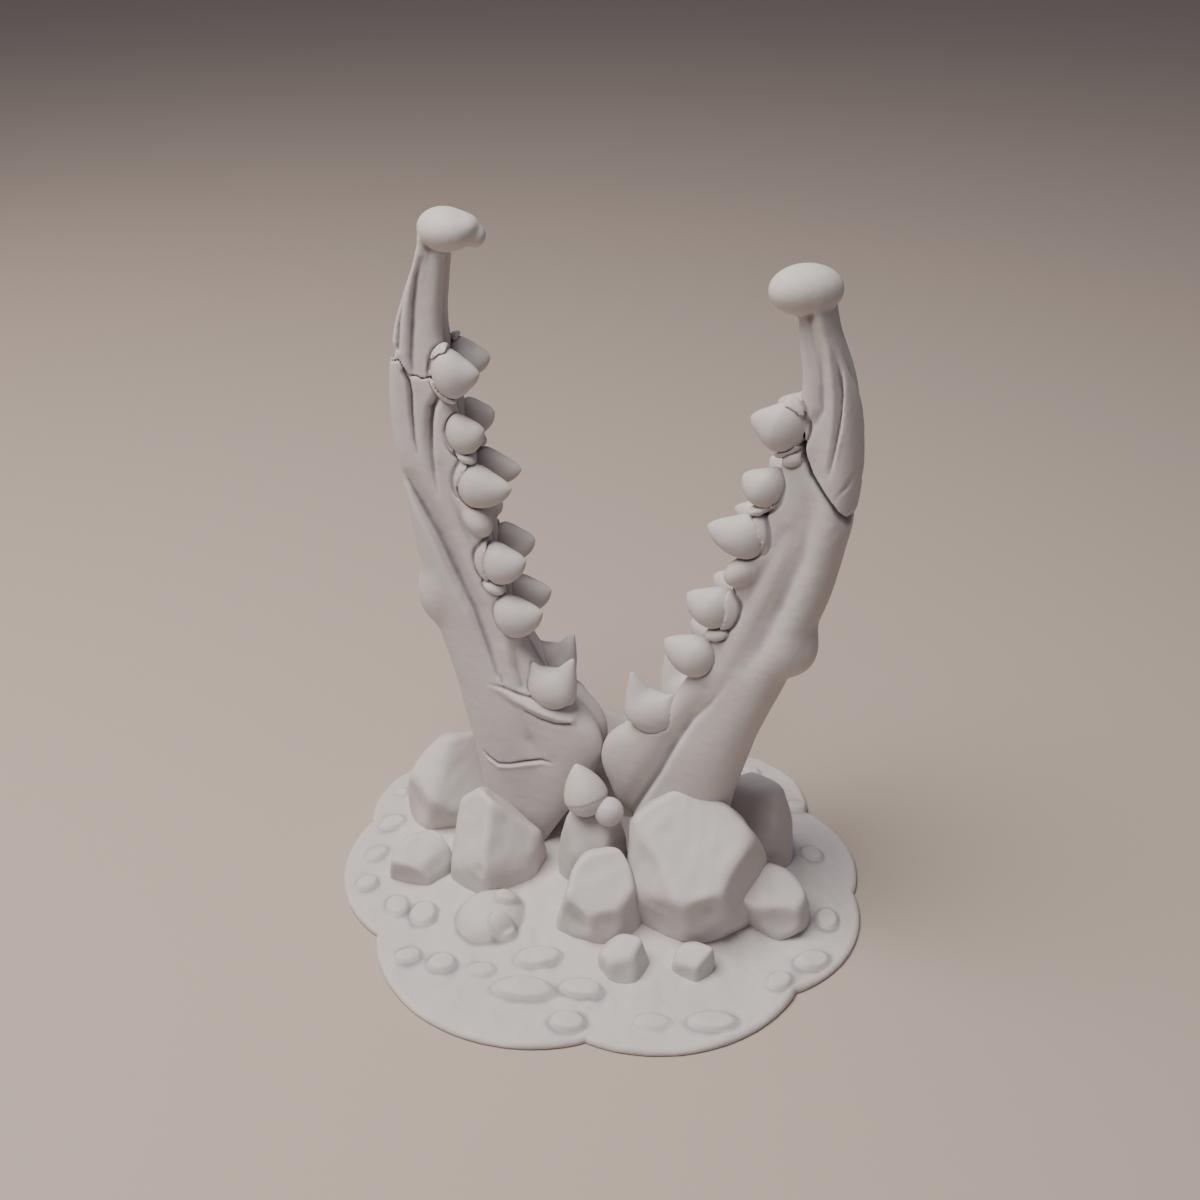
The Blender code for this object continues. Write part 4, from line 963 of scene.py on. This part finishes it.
def resin_material():
    """Matt casting resin with a faint sculpted grain, with painted shade in its hollows and cracks and a
    painted highlight on its proud parts.
    """
    material = bpy.data.materials.new("matt_resin")
    material.use_nodes = True
    nodes, links = material.node_tree.nodes, material.node_tree.links
    shader = nodes["Principled BSDF"]
    shader.inputs["Specular IOR Level"].default_value = RESIN_SPECULAR
    where = nodes.new("ShaderNodeTexCoord")

    def noise(scale, detail):
        node = nodes.new("ShaderNodeTexNoise")
        node.inputs["Scale"].default_value = scale
        node.inputs["Detail"].default_value = detail
        links.new(where.outputs["Object"], node.inputs["Vector"])
        return node.outputs["Fac"]

    def tones(value, stops):
        node = nodes.new("ShaderNodeValToRGB")
        elements = node.color_ramp.elements
        for element, (position, colour) in zip((elements[0], elements[1]), (stops[0], stops[-1])):
            element.position, element.color = position, colour
        for position, colour in stops[1:-1]:
            elements.new(position).color = colour
        links.new(value, node.inputs["Fac"])
        return node.outputs["Color"]

    def rescaled(value, socket, low, high):
        node = nodes.new("ShaderNodeMapRange")
        node.inputs[f"{socket} Min"].default_value = low
        node.inputs[f"{socket} Max"].default_value = high
        links.new(value, node.inputs["Value"])
        return node.outputs["Result"]

    def bump(height, strength, distance):
        node = nodes.new("ShaderNodeBump")
        node.inputs["Strength"].default_value = strength
        node.inputs["Distance"].default_value = distance
        links.new(height, node.inputs["Height"])
        return node

    mottle = noise(*MOTTLE)
    # Painted shade in hollows and cracks and a painted highlight on proud parts, read from the hollow
    # attribute through the tone ramp.
    hollow = nodes.new("ShaderNodeAttribute")
    hollow.attribute_name = "hollow"
    deep = nodes.new("ShaderNodeMix")
    deep.data_type = "RGBA"
    deep.blend_type = "MULTIPLY"
    deep.inputs["Factor"].default_value = 1.0
    links.new(tones(mottle, RESIN_TONES), deep.inputs[6])
    links.new(tones(rescaled(hollow.outputs["Fac"], "From", -1, 1), PAINTED_SHADE_AND_HIGHLIGHT_TONES), deep.inputs[7])
    links.new(deep.outputs[2], shader.inputs["Base Color"])
    links.new(rescaled(mottle, "To", *RESIN_ROUGHNESS), shader.inputs["Roughness"])
    fine, broad = (bump(noise(*texture), *relief) for texture, relief in GRAINS)
    links.new(fine.outputs["Normal"], broad.inputs["Normal"])
    links.new(broad.outputs["Normal"], shader.inputs["Normal"])
    return material


def look_at(obj, target):
    """Turns a camera or light, which faces down its own -Z, towards a point, keeping it level."""
    way = np.array(target) - np.array(obj.location)
    way /= np.linalg.norm(way)
    obj.rotation_euler = (math.acos(-way[2]), 0, math.atan2(-way[0], way[1]))


def soft_light(name, place, size, power, colour):
    """A round area light that faces the statuette."""
    data = bpy.data.lights.new(name, "AREA")
    data.shape = "DISK"
    data.size = size
    data.energy = power
    data.color = colour
    obj = bpy.data.objects.new(name, data)
    obj.location = place
    look_at(obj, LIT_POINT)
    bpy.context.scene.collection.objects.link(obj)


def make_studio():
    """Camera at the photograph's angle, pale floor and soft light."""
    scene = bpy.context.scene
    data = bpy.data.cameras.new("camera")
    data.lens, data.sensor_width = LENS, SENSOR
    data.clip_start = 0.01
    camera = bpy.data.objects.new("camera", data)
    level = math.cos(CAMERA_ELEVATION)
    ahead = (-math.sin(CAMERA_AZIMUTH) * level, math.cos(CAMERA_AZIMUTH) * level, -math.sin(CAMERA_ELEVATION))
    camera.location = CAMERA_PLACE
    scene.collection.objects.link(camera)
    look_at(camera, tuple(np.array(camera.location) + ahead))
    scene.camera = camera

    scene.world = bpy.data.worlds.new("studio")
    scene.world.use_nodes = True
    sky = scene.world.node_tree.nodes["Background"]
    sky.inputs["Color"].default_value = SKY_COLOUR
    sky.inputs["Strength"].default_value = SKY_STRENGTH
    for light in LIGHTS:
        soft_light(*light)

    mesh = bpy.data.meshes.new("floor")
    corners = [(x * FLOOR_REACH, y * FLOOR_REACH, 0) for x, y in ((-1, -1), (1, -1), (1, 1), (-1, 1))]
    mesh.from_pydata(corners, [], [(0, 1, 2, 3)])
    floor = bpy.data.objects.new("floor", mesh)
    scene.collection.objects.link(floor)
    paint = bpy.data.materials.new("pale_floor")
    paint.use_nodes = True
    shader = paint.node_tree.nodes["Principled BSDF"]
    shader.inputs["Base Color"].default_value = FLOOR_COLOUR
    shader.inputs["Roughness"].default_value = FLOOR_ROUGHNESS
    mesh.materials.append(paint)


resin = resin_material()
make_studio()
make_ground()
make_jaw("left")
make_jaw("right")
make_rocks()
make_pointed_stone()
